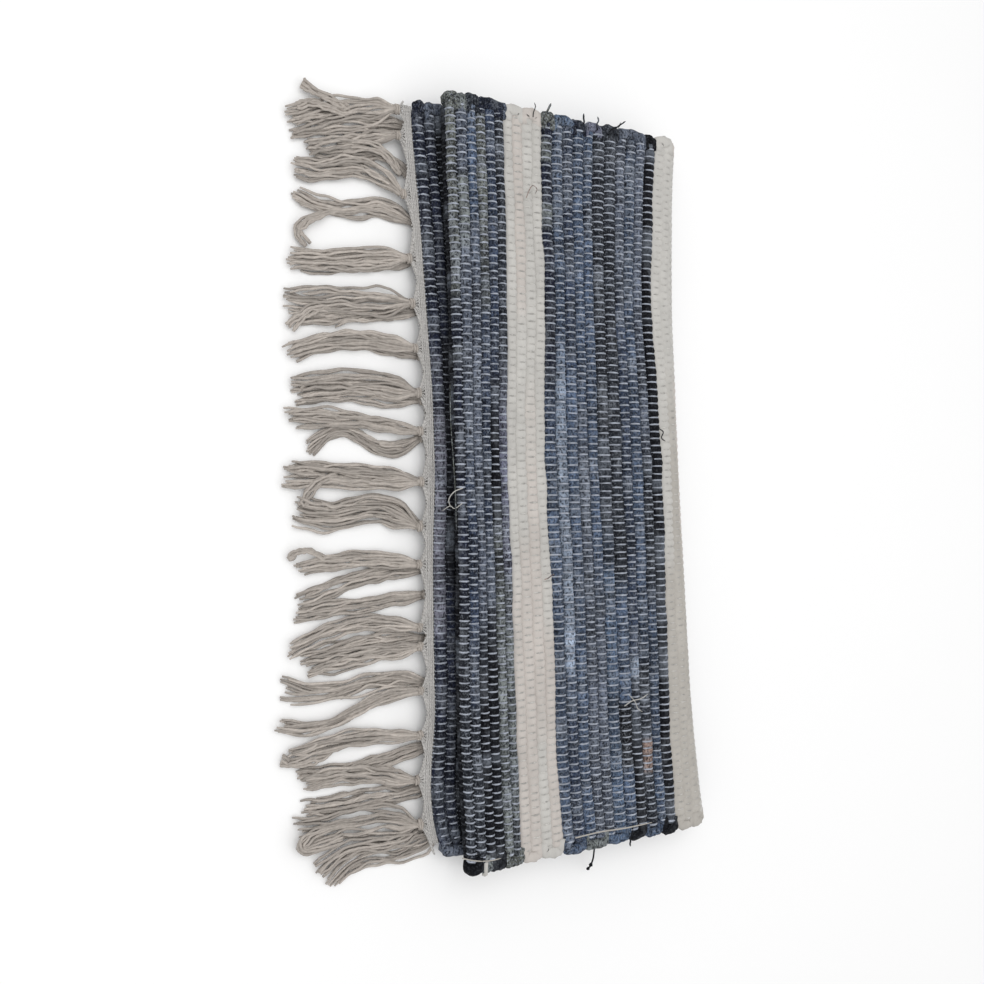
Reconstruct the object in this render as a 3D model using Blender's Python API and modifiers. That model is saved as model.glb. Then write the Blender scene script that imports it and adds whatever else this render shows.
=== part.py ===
"""Rag rug, folded in half twice, with a woven heading and a knotted fringe at each end.

The cloth lies as four layers on z = 0. From the bottom up, one end of the rug runs to the
right, turns over in the wide outer fold, comes back as the top layer, turns under in the left
fold, runs to the right again and turns in the tight inner fold, and its other end comes out at
the left between the bottom and the third layer. Both fringes lie to the left of the pile.
The warp runs along X, the weft and the folds along Y. Numbers in the tables are millimetres.
"""

import math
from collections import namedtuple

import bmesh
import bpy
import numpy as np

MM = 0.001
GAP = 0.3

# Cloth: thickness, and the height of each layer's middle.
CLOTH_THICKNESS = 8.0
LAYER_PITCH = 9.2
LAYER_Z = [CLOTH_THICKNESS / 2 + LAYER_PITCH * layer for layer in range(4)]
OUTER_FOLD_SWELL = 1.06
LEFT_FOLD_RISE_LENGTH = 60.0
STRAIGHT_STEPS = 7
OUTER_FOLD_STEPS = 10
TIGHT_FOLD_STEPS = 7

# Heading bands, and the strip of knots and the tassels of a fringe.
HEADING_WIDTH = 7.5
HEADING_THICKNESS = 3.4
KNOT_ROW_WIDTH = 6.0
KNOT_ROW_GAP = 1.3
FRINGE_THICKNESS = 3.2
KNOT_WIDTH = 7.0
TASSEL_STEPS = 7
TASSEL_TAPER = 0.3
TASSEL_DROP = 0.28
TIP_WIDTH_SHARE = 0.8

# Where the ends and folds stand along X at stations across the rug. y is taken on the top
# layer. lower_end and upper_end are where the rag weave stops, left_fold, outer_fold and
# inner_fold are the outsides of those folds, and rise is how far the left fold lifts the top.
Section = namedtuple("Section", "y lower_end upper_end left_fold outer_fold inner_fold rise")
SECTIONS = [
    Section(-303.5, -46.0, -66.0, -53.0, 195.5, 174.0, 2.6),
    Section(-272.0, -52.0, -74.0, -55.0, 190.5, 171.0, 2.4),
    Section(-236.0, -57.0, -76.5, -57.5, 185.5, 168.5, 2.2),
    Section(-190.0, -60.0, -72.0, -60.0, 180.0, 166.5, 2.0),
    Section(-134.0, -64.0, -73.5, -60.7, 176.0, 163.5, 2.0),
    Section(-55.0, -67.0, -74.5, -60.7, 170.5, 159.5, 2.0),
    Section(8.0, -67.0, -72.0, -63.3, 166.0, 156.0, 2.0),
    Section(75.0, -69.0, -74.5, -66.0, 162.5, 152.5, 2.2),
    Section(149.0, -71.0, -80.7, -67.7, 158.3, 148.0, 2.4),
    Section(214.0, -73.0, -86.5, -70.5, 158.0, 146.5, 2.6),
    Section(272.0, -75.0, -93.5, -73.3, 158.5, 145.5, 3.0),
    Section(307.5, -76.0, -97.0, -74.2, 161.5, 147.0, 3.2),
]

# The selvedges along Y at each end and fold, in order along the rug.
Turn = namedtuple("Turn", "near far")
LOWER_END = Turn(-296.0, 303.0)
OUTER_FOLD = Turn(-303.5, 308.5)
LEFT_FOLD = Turn(-303.5, 307.5)
INNER_FOLD = Turn(-299.0, 305.0)
UPPER_END = Turn(-291.5, 302.5)

# Tassels: knot and tip along Y, how far the tip reaches along X, a single and a double sideways
# bend on the way, and the width once spread.
Tassel = namedtuple("Tassel", "knot tip reach bow wave width")
UPPER_TASSELS = [
    Tassel(-264.0, -262.0, -182.0, 8.0, 0.0, 21.0),
    Tassel(-224.0, -221.0, -180.0, 3.0, 0.0, 14.0),
    Tassel(-192.0, -198.0, -188.0, 3.0, -1.0, 15.0),
    Tassel(-159.0, -178.0, -193.0, -4.0, 2.0, 11.0),
    Tassel(-126.0, -138.0, -174.0, 0.0, -2.0, 12.0),
    Tassel(-106.0, -121.0, -188.0, 5.0, 0.0, 13.0),
    Tassel(-63.0, -62.0, -187.0, 4.0, 0.0, 17.0),
    Tassel(-28.0, -19.0, -187.0, 5.0, 5.0, 23.0),
    Tassel(6.0, 12.0, -193.0, 3.0, 2.0, 16.0),
    Tassel(44.0, 45.0, -186.0, 4.0, 1.0, 16.0),
    Tassel(75.0, 73.0, -185.0, 3.0, 2.0, 22.0),
    Tassel(110.0, 106.0, -187.0, 6.0, -3.0, 16.0),
    Tassel(143.0, 139.0, -194.0, 0.0, 2.0, 22.0),
    Tassel(185.0, 169.0, -187.0, -1.0, -2.0, 20.0),
    Tassel(226.0, 232.0, -182.0, 10.0, 5.0, 15.0),
    Tassel(272.0, 271.0, -186.0, 4.0, 1.0, 17.0),
    Tassel(293.0, 296.0, -180.0, -1.0, 4.0, 13.0),
]
LOWER_TASSELS = [
    Tassel(-279.0, -299.0, -164.0, -4.0, 0.0, 17.0),
    Tassel(-241.0, -239.0, -172.0, 0.0, 0.0, 13.0),
    Tassel(-204.0, -215.0, -180.0, 0.0, 0.0, 13.0),
    Tassel(-151.0, -149.0, -193.0, 2.0, 3.0, 15.0),
    Tassel(-118.0, -130.0, -182.0, 3.0, 0.0, 13.0),
    Tassel(-87.0, -101.0, -185.0, 0.0, 1.0, 11.0),
    Tassel(-64.0, -84.0, -182.0, 3.0, 0.0, 11.0),
    Tassel(-31.0, -30.0, -180.0, 3.0, 3.0, 16.0),
    Tassel(4.0, 2.0, -184.0, 2.0, 1.0, 14.0),
    Tassel(40.0, 25.0, -172.0, -2.0, -5.0, 12.0),
    Tassel(72.0, 67.0, -184.0, 2.0, 0.0, 16.0),
    Tassel(106.0, 99.0, -186.0, 4.0, -2.0, 14.0),
    Tassel(140.0, 126.0, -184.0, 0.0, 2.0, 14.0),
    Tassel(178.0, 163.0, -180.0, -1.0, -1.0, 14.0),
    Tassel(208.0, 216.0, -181.0, 4.0, 2.0, 16.0),
    Tassel(247.0, 248.0, -179.0, 14.0, 5.0, 13.0),
    Tassel(283.0, 284.0, -184.0, 2.0, 1.0, 13.0),
]

# Heights of the middle of each heading and fringe.
UPPER_HEADING_Z = 12.2
UPPER_KNOTS_Z = 9.6
LOWER_HEADING_Z = HEADING_THICKNESS / 2
LOWER_FRINGE_Z = FRINGE_THICKNESS / 2
UPPER_TASSELS_Z = LOWER_FRINGE_Z + FRINGE_THICKNESS + GAP

# Colours as linear RGB.
DENIM = (0.075, 0.110, 0.180)
HEADING_COTTON = (0.520, 0.490, 0.450)
FRINGE_COTTON = (0.430, 0.385, 0.335)


def clear_scene():
    for item in list(bpy.data.objects):
        bpy.data.objects.remove(item, do_unlink=True)


def new_material(name, colour, roughness):
    material = bpy.data.materials.new(name)
    material.use_nodes = True
    shader = material.node_tree.nodes["Principled BSDF"]
    shader.inputs["Base Color"].default_value = (*colour, 1.0)
    shader.inputs["Roughness"].default_value = roughness
    shader.inputs["Metallic"].default_value = 0.0
    return material


def smoothstep(value):
    value = min(max(value, 0.0), 1.0)
    return value * value * (3.0 - 2.0 * value)


def width_shares():
    """How far across the rug each section stands, from 0 at the near selvedge to 1."""
    span = LEFT_FOLD.far - LEFT_FOLD.near
    return [(row.y - LEFT_FOLD.near) / span for row in SECTIONS]


def end_line(column, turn):
    """Where the rag weave stops at one end of the rug: the X and Y of each section."""
    xs = [getattr(row, column) for row in SECTIONS]
    ys = [turn.near + (turn.far - turn.near) * share for share in width_shares()]
    return xs, ys


def straight(start, end, steps):
    """Points after start, up to end, evenly spaced."""
    shares = [step / steps for step in range(1, steps + 1)]
    return [(start[0] + (end[0] - start[0]) * t, start[1] + (end[1] - start[1]) * t) for t in shares]


def turn_points(centre_x, low_z, high_z, reach, steps, upwards):
    """Half an ellipse from one layer's middle to another's, bulging by reach along X."""
    middle, radius = (low_z + high_z) / 2, (high_z - low_z) / 2
    sign = 1.0 if upwards else -1.0
    angles = [math.pi * (step / steps - 0.5) for step in range(1, steps + 1)]
    return [(centre_x + reach * math.cos(a), middle + sign * radius * math.sin(a)) for a in angles]


def top_layer(start_x, end_x, rise):
    """The top layer from right to left, lifted near the left fold."""
    points = []
    for x, _ in straight((start_x, 0.0), (end_x, 0.0), STRAIGHT_STEPS + 1):
        lift = rise * smoothstep(1.0 - (x - end_x) / LEFT_FOLD_RISE_LENGTH)
        points.append((x, LAYER_Z[3] + lift))
    return points


def section_path(row):
    """One section of the cloth's middle as X and Z, from the lower end to the upper end."""
    half = CLOTH_THICKNESS / 2
    outer_radius = (LAYER_Z[3] - LAYER_Z[0]) / 2
    inner_radius = (LAYER_Z[2] - LAYER_Z[1]) / 2
    outer_reach = outer_radius * OUTER_FOLD_SWELL
    outer_x = row.outer_fold - half - outer_reach
    inner_x = row.inner_fold - half - inner_radius
    lifted = LAYER_Z[3] + row.rise
    left_radius = (lifted - LAYER_Z[2]) / 2
    left_x = row.left_fold + half + left_radius

    path = [(row.lower_end, LAYER_Z[0])]
    path += straight(path[-1], (outer_x, LAYER_Z[0]), STRAIGHT_STEPS)
    path += turn_points(outer_x, LAYER_Z[0], LAYER_Z[3], outer_reach, OUTER_FOLD_STEPS, True)
    path += top_layer(outer_x, left_x, row.rise)
    path += turn_points(left_x, LAYER_Z[2], lifted, -left_radius, TIGHT_FOLD_STEPS, False)
    path += straight(path[-1], (inner_x, LAYER_Z[2]), STRAIGHT_STEPS)
    path += turn_points(inner_x, LAYER_Z[1], LAYER_Z[2], inner_radius, TIGHT_FOLD_STEPS, False)
    path += straight(path[-1], (row.upper_end, LAYER_Z[1]), STRAIGHT_STEPS)
    return path


def selvedges_along(path):
    """Near and far selvedge for each point of a section, straight between the Turns."""
    counts = [
        STRAIGHT_STEPS + OUTER_FOLD_STEPS // 2,
        OUTER_FOLD_STEPS // 2 + STRAIGHT_STEPS + 1 + TIGHT_FOLD_STEPS // 2,
        TIGHT_FOLD_STEPS - TIGHT_FOLD_STEPS // 2 + STRAIGHT_STEPS + TIGHT_FOLD_STEPS // 2,
    ]
    marks = [0, *np.cumsum(counts), len(path) - 1]
    turns = [LOWER_END, OUTER_FOLD, LEFT_FOLD, INNER_FOLD, UPPER_END]
    steps = np.arange(len(path))
    near = np.interp(steps, marks, [turn.near for turn in turns])
    far = np.interp(steps, marks, [turn.far for turn in turns])
    return near, far


def object_from_sheet(name, points, faces, thickness, material, collection):
    """An open sheet through points in millimetres, made solid on both sides of its middle."""
    mesh = bpy.data.meshes.new(name)
    mesh.from_pydata([(x * MM, y * MM, z * MM) for x, y, z in points], [], faces)
    mesh.materials.append(material)
    sheet = bmesh.new()
    sheet.from_mesh(mesh)
    bmesh.ops.recalc_face_normals(sheet, faces=sheet.faces)
    sheet.to_mesh(mesh)
    sheet.free()
    piece = bpy.data.objects.new(name, mesh)
    collection.objects.link(piece)
    solid = piece.modifiers.new("thickness", "SOLIDIFY")
    solid.thickness = thickness * MM
    solid.offset = 0.0
    solid.use_even_offset = True
    solid.use_rim = True
    return piece


def grid_faces(rows, columns):
    """Quads of a grid whose points are listed row after row."""
    return [
        (r * columns + c, r * columns + c + 1, (r + 1) * columns + c + 1, (r + 1) * columns + c)
        for r in range(rows - 1)
        for c in range(columns - 1)
    ]


def build_cloth(material, collection):
    """The folded rag weave: a sheet lofted through the sections."""
    points = []
    for row, share in zip(SECTIONS, width_shares()):
        path = section_path(row)
        near, far = selvedges_along(path)
        across = near + (far - near) * share
        points += [(x, y, z) for (x, z), y in zip(path, across)]
    columns = len(points) // len(SECTIONS)
    faces = grid_faces(len(SECTIONS), columns)
    return object_from_sheet("rug_cloth", points, faces, CLOTH_THICKNESS, material, collection)


def build_heading(name, column, end, z, material, collection):
    """The narrow plain band that locks the rags at one end of the rug."""
    points = []
    for x, y in zip(*end_line(column, end)):
        inner = x - GAP
        points += [(inner, y, z), (inner - HEADING_WIDTH, y, z)]
    faces = grid_faces(len(SECTIONS), 2)
    return object_from_sheet(name, points, faces, HEADING_THICKNESS, material, collection)


def tassel_points(row, root_x, knots_z, floor_z):
    """Pairs of points down both sides of a tassel, from its knot to its tip.

    Its middle runs straight from knot to tip, plus bow times the sine of half a turn and wave
    times the sine of a whole turn. It spreads from the knot's width and drops to floor_z.
    """
    pairs = []
    for step in range(1, TASSEL_STEPS + 1):
        t = step / TASSEL_STEPS
        x = root_x + (row.reach - root_x) * t
        y = row.knot + (row.tip - row.knot) * t
        y += row.bow * math.sin(math.pi * t) + row.wave * math.sin(2 * math.pi * t)
        z = knots_z + (floor_z - knots_z) * smoothstep(t / TASSEL_DROP)
        spread = smoothstep(t / TASSEL_TAPER)
        width = KNOT_WIDTH + (row.width - KNOT_WIDTH) * spread
        if step == TASSEL_STEPS:
            width *= TIP_WIDTH_SHARE
        pairs.append(((x, y - width / 2, z), (x, y + width / 2, z)))
    return pairs


def build_fringe(name, column, end, tassels, knots_z, floor_z, material, collection):
    """A comb: the row of knots beside the heading is its spine, and each tassel is a tooth."""
    breaks = [end.near + 1.0]
    for row in tassels:
        breaks += [row.knot - KNOT_WIDTH / 2, row.knot + KNOT_WIDTH / 2]
    breaks.append(end.far - 1.0)
    line_x, line_y = end_line(column, end)
    points = []
    for y in breaks:
        inner = float(np.interp(y, line_y, line_x)) - GAP - HEADING_WIDTH - KNOT_ROW_GAP
        points += [(inner, y, knots_z), (inner - KNOT_ROW_WIDTH, y, knots_z)]
    faces = grid_faces(len(breaks), 2)
    for index, row in enumerate(tassels):
        left, right = 4 * index + 3, 4 * index + 5
        root_x = (points[left][0] + points[right][0]) / 2
        for near_side, far_side in tassel_points(row, root_x, knots_z, floor_z):
            points += [near_side, far_side]
            faces.append((left, right, len(points) - 1, len(points) - 2))
            left, right = len(points) - 2, len(points) - 1
    return object_from_sheet(name, points, faces, FRINGE_THICKNESS, material, collection)


def main():
    clear_scene()
    collection = bpy.data.collections.new("rag_rug")
    bpy.context.scene.collection.children.link(collection)
    rag = new_material("woven_rag", DENIM, 0.9)
    heading = new_material("heading_cotton", HEADING_COTTON, 0.9)
    fringe = new_material("fringe_cotton", FRINGE_COTTON, 0.95)

    build_cloth(rag, collection)
    build_heading("heading_lower", "lower_end", LOWER_END, LOWER_HEADING_Z, heading, collection)
    build_heading("heading_upper", "upper_end", UPPER_END, UPPER_HEADING_Z, heading, collection)
    build_fringe(
        "fringe_lower", "lower_end", LOWER_END, LOWER_TASSELS,
        LOWER_FRINGE_Z, LOWER_FRINGE_Z, fringe, collection,
    )
    build_fringe(
        "fringe_upper", "upper_end", UPPER_END, UPPER_TASSELS,
        UPPER_KNOTS_Z, UPPER_TASSELS_Z, fringe, collection,
    )


main()
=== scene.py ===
"""A folded rag rug: cloth strips woven on thin cotton warp, with knotted fringes, as a Blender add-on."""

import functools
import math
from collections import namedtuple

import bpy
import numpy as np
from bpy.props import FloatProperty, FloatVectorProperty, IntProperty, PointerProperty
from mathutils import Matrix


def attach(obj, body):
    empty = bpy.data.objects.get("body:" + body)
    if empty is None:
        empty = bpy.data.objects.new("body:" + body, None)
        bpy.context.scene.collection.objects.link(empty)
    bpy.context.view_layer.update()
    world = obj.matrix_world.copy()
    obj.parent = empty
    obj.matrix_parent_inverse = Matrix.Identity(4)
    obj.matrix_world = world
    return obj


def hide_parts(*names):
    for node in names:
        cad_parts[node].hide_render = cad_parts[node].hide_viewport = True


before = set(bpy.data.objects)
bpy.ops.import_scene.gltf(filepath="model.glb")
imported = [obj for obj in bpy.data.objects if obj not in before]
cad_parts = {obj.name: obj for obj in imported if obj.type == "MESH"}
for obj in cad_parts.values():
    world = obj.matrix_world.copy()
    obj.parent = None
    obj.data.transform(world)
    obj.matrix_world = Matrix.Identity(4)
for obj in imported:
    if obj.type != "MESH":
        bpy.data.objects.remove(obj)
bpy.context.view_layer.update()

bl_info = {
    "name": "Folded rag rug",
    "version": (1, 0, 0),
    "blender": (4, 5, 0),
    "location": "3D View > Sidebar > Rag rug",
    "description": "Makes a rag rug folded in four, its warp, selvedges, headings and knotted fringes",
    "category": "Add Mesh",
}

MM = 0.001
BODY = "root"
SEED = 20

# ---------------------------------------------------------------- the fold, in millimetres

CLOTH_THICKNESS = 8.0
LAYER_PITCH = 9.2
LAYER_Z = CLOTH_THICKNESS / 2 + LAYER_PITCH * np.arange(4)
OUTER_FOLD_SWELL = 1.06
LEFT_FOLD_RISE_LENGTH = 60.0

Section = namedtuple("Section", "y lower_end upper_end left_fold outer_fold inner_fold rise")
SECTIONS = (
    Section(-303.5, -46.0, -65.5, -53.0, 195.5, 174.0, 2.6),
    Section(-272.0, -52.0, -74.0, -55.0, 190.5, 171.0, 2.4),
    Section(-236.0, -57.0, -75.5, -57.5, 185.5, 168.5, 2.2),
    Section(-190.0, -60.0, -71.0, -60.0, 180.0, 166.5, 2.0),
    Section(-134.0, -64.0, -72.4, -60.7, 176.0, 163.5, 2.0),
    Section(-55.0, -67.0, -73.3, -60.7, 170.5, 159.5, 2.0),
    Section(8.0, -67.0, -71.2, -63.3, 166.0, 156.0, 2.0),
    Section(75.0, -69.0, -73.6, -66.0, 162.5, 152.5, 2.2),
    Section(149.0, -71.0, -79.5, -67.7, 158.3, 148.0, 2.4),
    Section(214.0, -73.0, -84.5, -70.5, 158.0, 146.5, 2.6),
    Section(272.0, -75.0, -90.5, -73.3, 158.5, 145.5, 3.0),
    Section(307.5, -76.0, -93.0, -74.2, 161.5, 147.0, 3.2),
)

# where the two selvedges lie at each turn of the cloth
Turn = namedtuple("Turn", "near far")
LOWER_END = Turn(-296.0, 303.0)
OUTER_FOLD = Turn(-303.5, 308.5)
LEFT_FOLD = Turn(-303.5, 307.5)
INNER_FOLD = Turn(-299.0, 305.0)
UPPER_END = Turn(-291.5, 302.5)

# how far the top layer's stripes lie from the left fold
Stripe = namedtuple("Stripe", "y cream_start cream_end edge_start")
STRIPES = (
    Stripe(-303.5, 49.5, 90.0, 210.0),
    Stripe(-226.0, 50.7, 87.6, 208.0),
    Stripe(-162.0, 51.0, 88.0, 208.0),
    Stripe(-98.0, 48.0, 85.7, 205.2),
    Stripe(-34.0, 46.0, 82.7, 203.4),
    Stripe(30.0, 46.0, 81.5, 203.4),
    Stripe(95.0, 48.9, 83.8, 200.2),
    Stripe(160.0, 50.6, 86.5, 195.0),
    Stripe(225.0, 52.4, 85.5, 200.0),
    Stripe(307.5, 52.4, 88.2, 207.0),
)

STATIONS = 241
ROW_STEPS = 16
FOLD_ROWS = 6
CREAM_ROWS = 4
DENIM_ROWS = 11
UNDER_ROWS = 25
INNER_ROWS = 48
EDGE_WIDTH = 36.0
OUTER_ROWS = FOLD_ROWS + CREAM_ROWS + DENIM_ROWS + CREAM_ROWS + UNDER_ROWS
ROWS = OUTER_ROWS + INNER_ROWS
WARP_THREADS = 200
ROW_INSET = 0.0149
ROW_PITCH = 9.4
HEADING_START = 0.014

# the lowest that any piece reaches, in metres
LIES_AT = 0.0002

# where the camera stands, in metres, and how far it leans, in degrees
CAMERA_PLACE = (-0.4097, -0.0031, 0.7156)
CAMERA_LEAN = -29.0

# ---------------------------------------------------------------- the weave's colours

SHADES = {
    "ink": (8, 9, 14),
    "navy": (24, 29, 46),
    "charcoal": (38, 42, 49),
    "dusk": (47, 57, 76),
    "denim": (72, 86, 108),
    "steel": (82, 99, 123),
    "slate": (86, 93, 107),
    "pale": (140, 153, 172),
    "lavender": (106, 108, 126),
    "mauve": (126, 126, 140),
    "grey": (113, 118, 117),
    "olive": (98, 101, 96),
    "tan": (150, 128, 118),
    "cream": (180, 178, 174),
    "shell": (182, 176, 171),
    "ivory": (167, 163, 157),
}

# how much each colour is flecked with undyed yarn; the three of the cream stripes aren't
FLECKS = {
    "ink": 0.12,
    "pale": 0.3,
    "navy": 0.4,
    "charcoal": 0.5,
    "olive": 1.0,
    "grey": 0.75,
    "cream": 0.0,
    "shell": 0.0,
    "ivory": 0.0,
}
PLAIN_FLECK = 0.6

# the cloth strips of the top layer, counted from the left fold: colour by the near edge, in the middle and by
# the far edge
Row = namedtuple("Row", "near middle far")
TOP_ROWS = (
    Row("charcoal", "navy", "olive"),
    Row("charcoal", "dusk", "slate"),
    Row("ink", "slate", "denim"),
    Row("ink", "dusk", "olive"),
    Row("grey", "ink", "dusk"),
    Row("grey", "lavender", "charcoal"),
    Row("shell", "cream", "cream"),
    Row("shell", "cream", "shell"),
    Row("cream", "shell", "cream"),
    Row("shell", "cream", "cream"),
    Row("denim", "denim", "navy"),
    Row("dusk", "pale", "denim"),
    Row("denim", "denim", "dusk"),
    Row("slate", "slate", "denim"),
    Row("slate", "denim", "denim"),
    Row("steel", "charcoal", "charcoal"),
    Row("denim", "charcoal", "charcoal"),
    Row("ink", "dusk", "slate"),
    Row("charcoal", "denim", "denim"),
    Row("denim", "charcoal", "slate"),
    Row("ink", "ink", "ink"),
    Row("ivory", "cream", "cream"),
    Row("ivory", "ivory", "cream"),
    Row("ivory", "shell", "cream"),
    Row("cream", "ivory", "shell"),
)
# pieces of another cloth let into a row, counted from the left fold, between two shares of the width
Patch = namedtuple("Patch", "row first last shade")
PATCHES = (
    Patch(11, 0.44, 0.6, "pale"), Patch(11, 0.27, 0.31, "pale"), Patch(12, 0.52, 0.58, "denim"),
    Patch(18, 0.09, 0.145, "tan"), Patch(17, 0.225, 0.262, "pale"), Patch(16, 0.1, 0.2, "ink"),
    Patch(10, 0.93, 0.965, "grey"), Patch(10, 0.84, 0.88, "grey"), Patch(1, 0.8, 0.9, "grey"),
)

# the strips seen past the left fold, and the last ones at the upper end. The fold row and the first three upper
# end rows are black, wholly or in the middle, as painted shade of the gap under the left fold; the last row
# keeps its own colours
FOLD_ROW = Row("ink", "ink", "ink")
UPPER_END_ROWS = (
    Row("ink", "ink", "ink"),
    Row("ink", "ink", "ink"),
    Row("navy", "ink", "navy"),
    Row("navy", "mauve", "navy"),
)

# strips that turn or run along the selvedges, in rows counted from the left fold, or from the upper end
Edge = namedtuple("Edge", "first last shade")
FAR_EDGES = (
    Edge(-1.6, 1.1, "olive"), Edge(0.9, 2.0, "grey"), Edge(1.8, 3.5, "charcoal"), Edge(3.2, 5.9, "navy"),
    Edge(5.4, 6.3, "slate"), Edge(6.1, 8.2, "cream"), Edge(7.9, 10.0, "shell"), Edge(9.9, 11.2, "olive"),
    Edge(10.9, 13.0, "steel"), Edge(12.6, 14.3, "navy"), Edge(14.0, 15.8, "lavender"),
    Edge(15.4, 17.4, "charcoal"), Edge(17.0, 20.1, "slate"), Edge(19.7, 21.1, "ink"),
    Edge(21.0, 23.1, "cream"), Edge(22.8, 24.9, "shell"),
)
NEAR_EDGES = (
    Edge(-1.0, 1.6, "ink"), Edge(1.4, 2.7, "grey"), Edge(2.4, 4.1, "ink"), Edge(3.8, 6.2, "olive"),
    Edge(6.0, 8.1, "shell"), Edge(7.8, 10.1, "cream"), Edge(10.0, 12.2, "denim"), Edge(11.8, 14.3, "grey"),
    Edge(14.1, 16.4, "steel"), Edge(16.0, 17.8, "ink"), Edge(17.5, 19.7, "denim"), Edge(19.4, 21.1, "ink"),
    Edge(21.0, 23.1, "ivory"), Edge(22.8, 24.9, "ivory"),
)
UPPER_END_FAR = (Edge(0.1, 1.1, "navy"), Edge(0.9, 3.1, "slate"))
UPPER_END_NEAR = (Edge(0.1, 2.8, "slate"), Edge(2.5, 4.0, "ink"))

# loose ends: points in millimetres, with how many small knots are tied in each
Loose = namedtuple("Loose", "shade thickness knots points")
LOOSE_ENDS = (
    Loose("ink", 1.5, 2, ((70, -297, 32), (72, -307, 26), (75, -317, 20), (77, -326, 13), (77, -331, 8))),
    Loose("ink", 1.6, 0, ((104, -299, 33), (105, -303, 33), (106, -306, 31), (107, -309, 30))),
    Loose("charcoal", 1.6, 0, ((53, 301, 35), (54, 304, 37), (53, 307, 38), (53, 311, 38))),
    Loose("charcoal", 1.3, 0, ((69, 301, 35), (67, 305, 37), (68, 308, 38), (67, 311, 38))),
    Loose("ink", 1.2, 0, ((83, 302, 36), (87, 306, 38), (91, 309, 39), (95, 312, 39))),
    Loose("ink", 1.1, 0, ((80, 301, 36), (84, 305, 38), (88, 306, 39), (90, 310, 39))),
    Loose("olive", 1.9, 0, ((16, 302, 35), (18, 307, 37), (20, 311, 37), (22, 314, 36))),
    Loose("ink", 0.8, 0, ((5, 300, 36), (5, 304, 37), (6, 308, 38), (5, 311, 38))),
    Loose("tan", 0.7, 0, ((-3, 233, 38.6), (-1, 239, 40), (2, 243, 40.4), (6, 241, 40.2), (5, 237, 39.4))),
    Loose("tan", 0.9, 0, ((14, -74, 39), (17, -73, 39.8), (20, -71, 39.9), (23, -70, 39.2))),
    Loose("ink", 1.0, 0, ((132, 52, 38), (135, 49, 40), (133, 44, 40), (138, 41, 39))),
    Loose("cream", 0.8, 0, ((94, -185, 39), (101, -181, 40.5), (110, -180, 40.6), (119, -177, 39.5))),
    Loose("cream", 0.7, 0, ((99, -176, 39), (104, -182, 40.6), (107, -188, 40.4), (113, -192, 39.3))),
    Loose("cream", 0.9, 0, ((-60, 0, 38), (-65, -3, 33), (-67, -9, 28), (-64, -15, 25))),
    Loose("cream", 0.7, 0, ((-60, -12, 37), (-64, -16, 32), (-66, -14, 28), (-70, -18, 22))),
    Loose("olive", 0.8, 0, ((-69, 80, 34), (-68, 53, 33), (-66, 26, 33), (-64, -2, 33), (-63, -33, 33))),
    Loose("ivory", 1.2, 0, ((45, -289, 37.6), (70, -288, 38.2), (95, -289, 38.4), (124, -289, 38))),
    Loose("ivory", 1.0, 0, ((-59, -288, 35), (-49, -291, 37.4), (-37, -293, 38), (-26, -293, 38))),
    Loose("cream", 4.5, 0, ((-39, -294, 37), (-39, -299, 36.5), (-38, -304, 34), (-37, -306, 29))),
)

# bundles that leave their tassel: points in millimetres, with the bundle's width
Stray = namedtuple("Stray", "width points")
STRAY_STRANDS = 6
STRAYS = (
    Stray(6, ((-135, 290, 1.5), (-153, 292, 8), (-167, 297, 6), (-178, 302, 5))),
    Stray(5, ((-135, 285, 1.5), (-157, 287, 8), (-171, 288, 6), (-182, 285, 4))),
    Stray(5, ((-150, 211, 1.5), (-168, 203, 7), (-180, 193, 5), (-173, 182, 4))),
    Stray(8, ((-150, 139, 1.5), (-169, 134, 7), (-180, 127, 5), (-187, 119, 4))),
    Stray(8, ((-98, 246, 5), (-110, 258, 8), (-125, 262, 8), (-149, 260, 2))),
    Stray(11, ((-83, -272, 5), (-108, -275, 9), (-141, -274, 8), (-165, -288, 5))),
    Stray(7, ((-138, -256, 1.5), (-172, -259, 9), (-177, -269, 8), (-146, -267, 6))),
    Stray(4, ((-150, -58, 1.5), (-171, -48, 7), (-180, -47, 5), (-188, -53, 4))),
    Stray(5, ((-150, -198, 1.5), (-165, -204, 5), (-180, -206, 4), (-193, -202, 3))),
    Stray(5, ((-150, 12, 1.5), (-166, 3, 7), (-174, -6, 5), (-176, -14, 4))),
)

# what the rows that don't show are made of
HIDDEN_SHADES = ("ink", "navy", "charcoal", "dusk", "denim", "steel", "slate", "pale", "grey", "olive")

# ---------------------------------------------------------------- headings and fringes

HEADING_WIDTH = 6.2
HEADING_CORDS = 4
KNOT_ROW_WIDTH = 5.0
KNOT_ROW_GAP = 1.3
GAP = 0.3
UPPER_HEADING_Z = 12.2
UPPER_KNOTS_Z = 9.0
LOWER_HEADING_Z = 1.9
LOWER_KNOTS_Z = 3.0
UPPER_STRANDS_Z = 3.1
LOWER_STRANDS_Z = 1.05
TASSEL_TAPER = 0.16
TASSEL_DROP = 0.28

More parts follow.
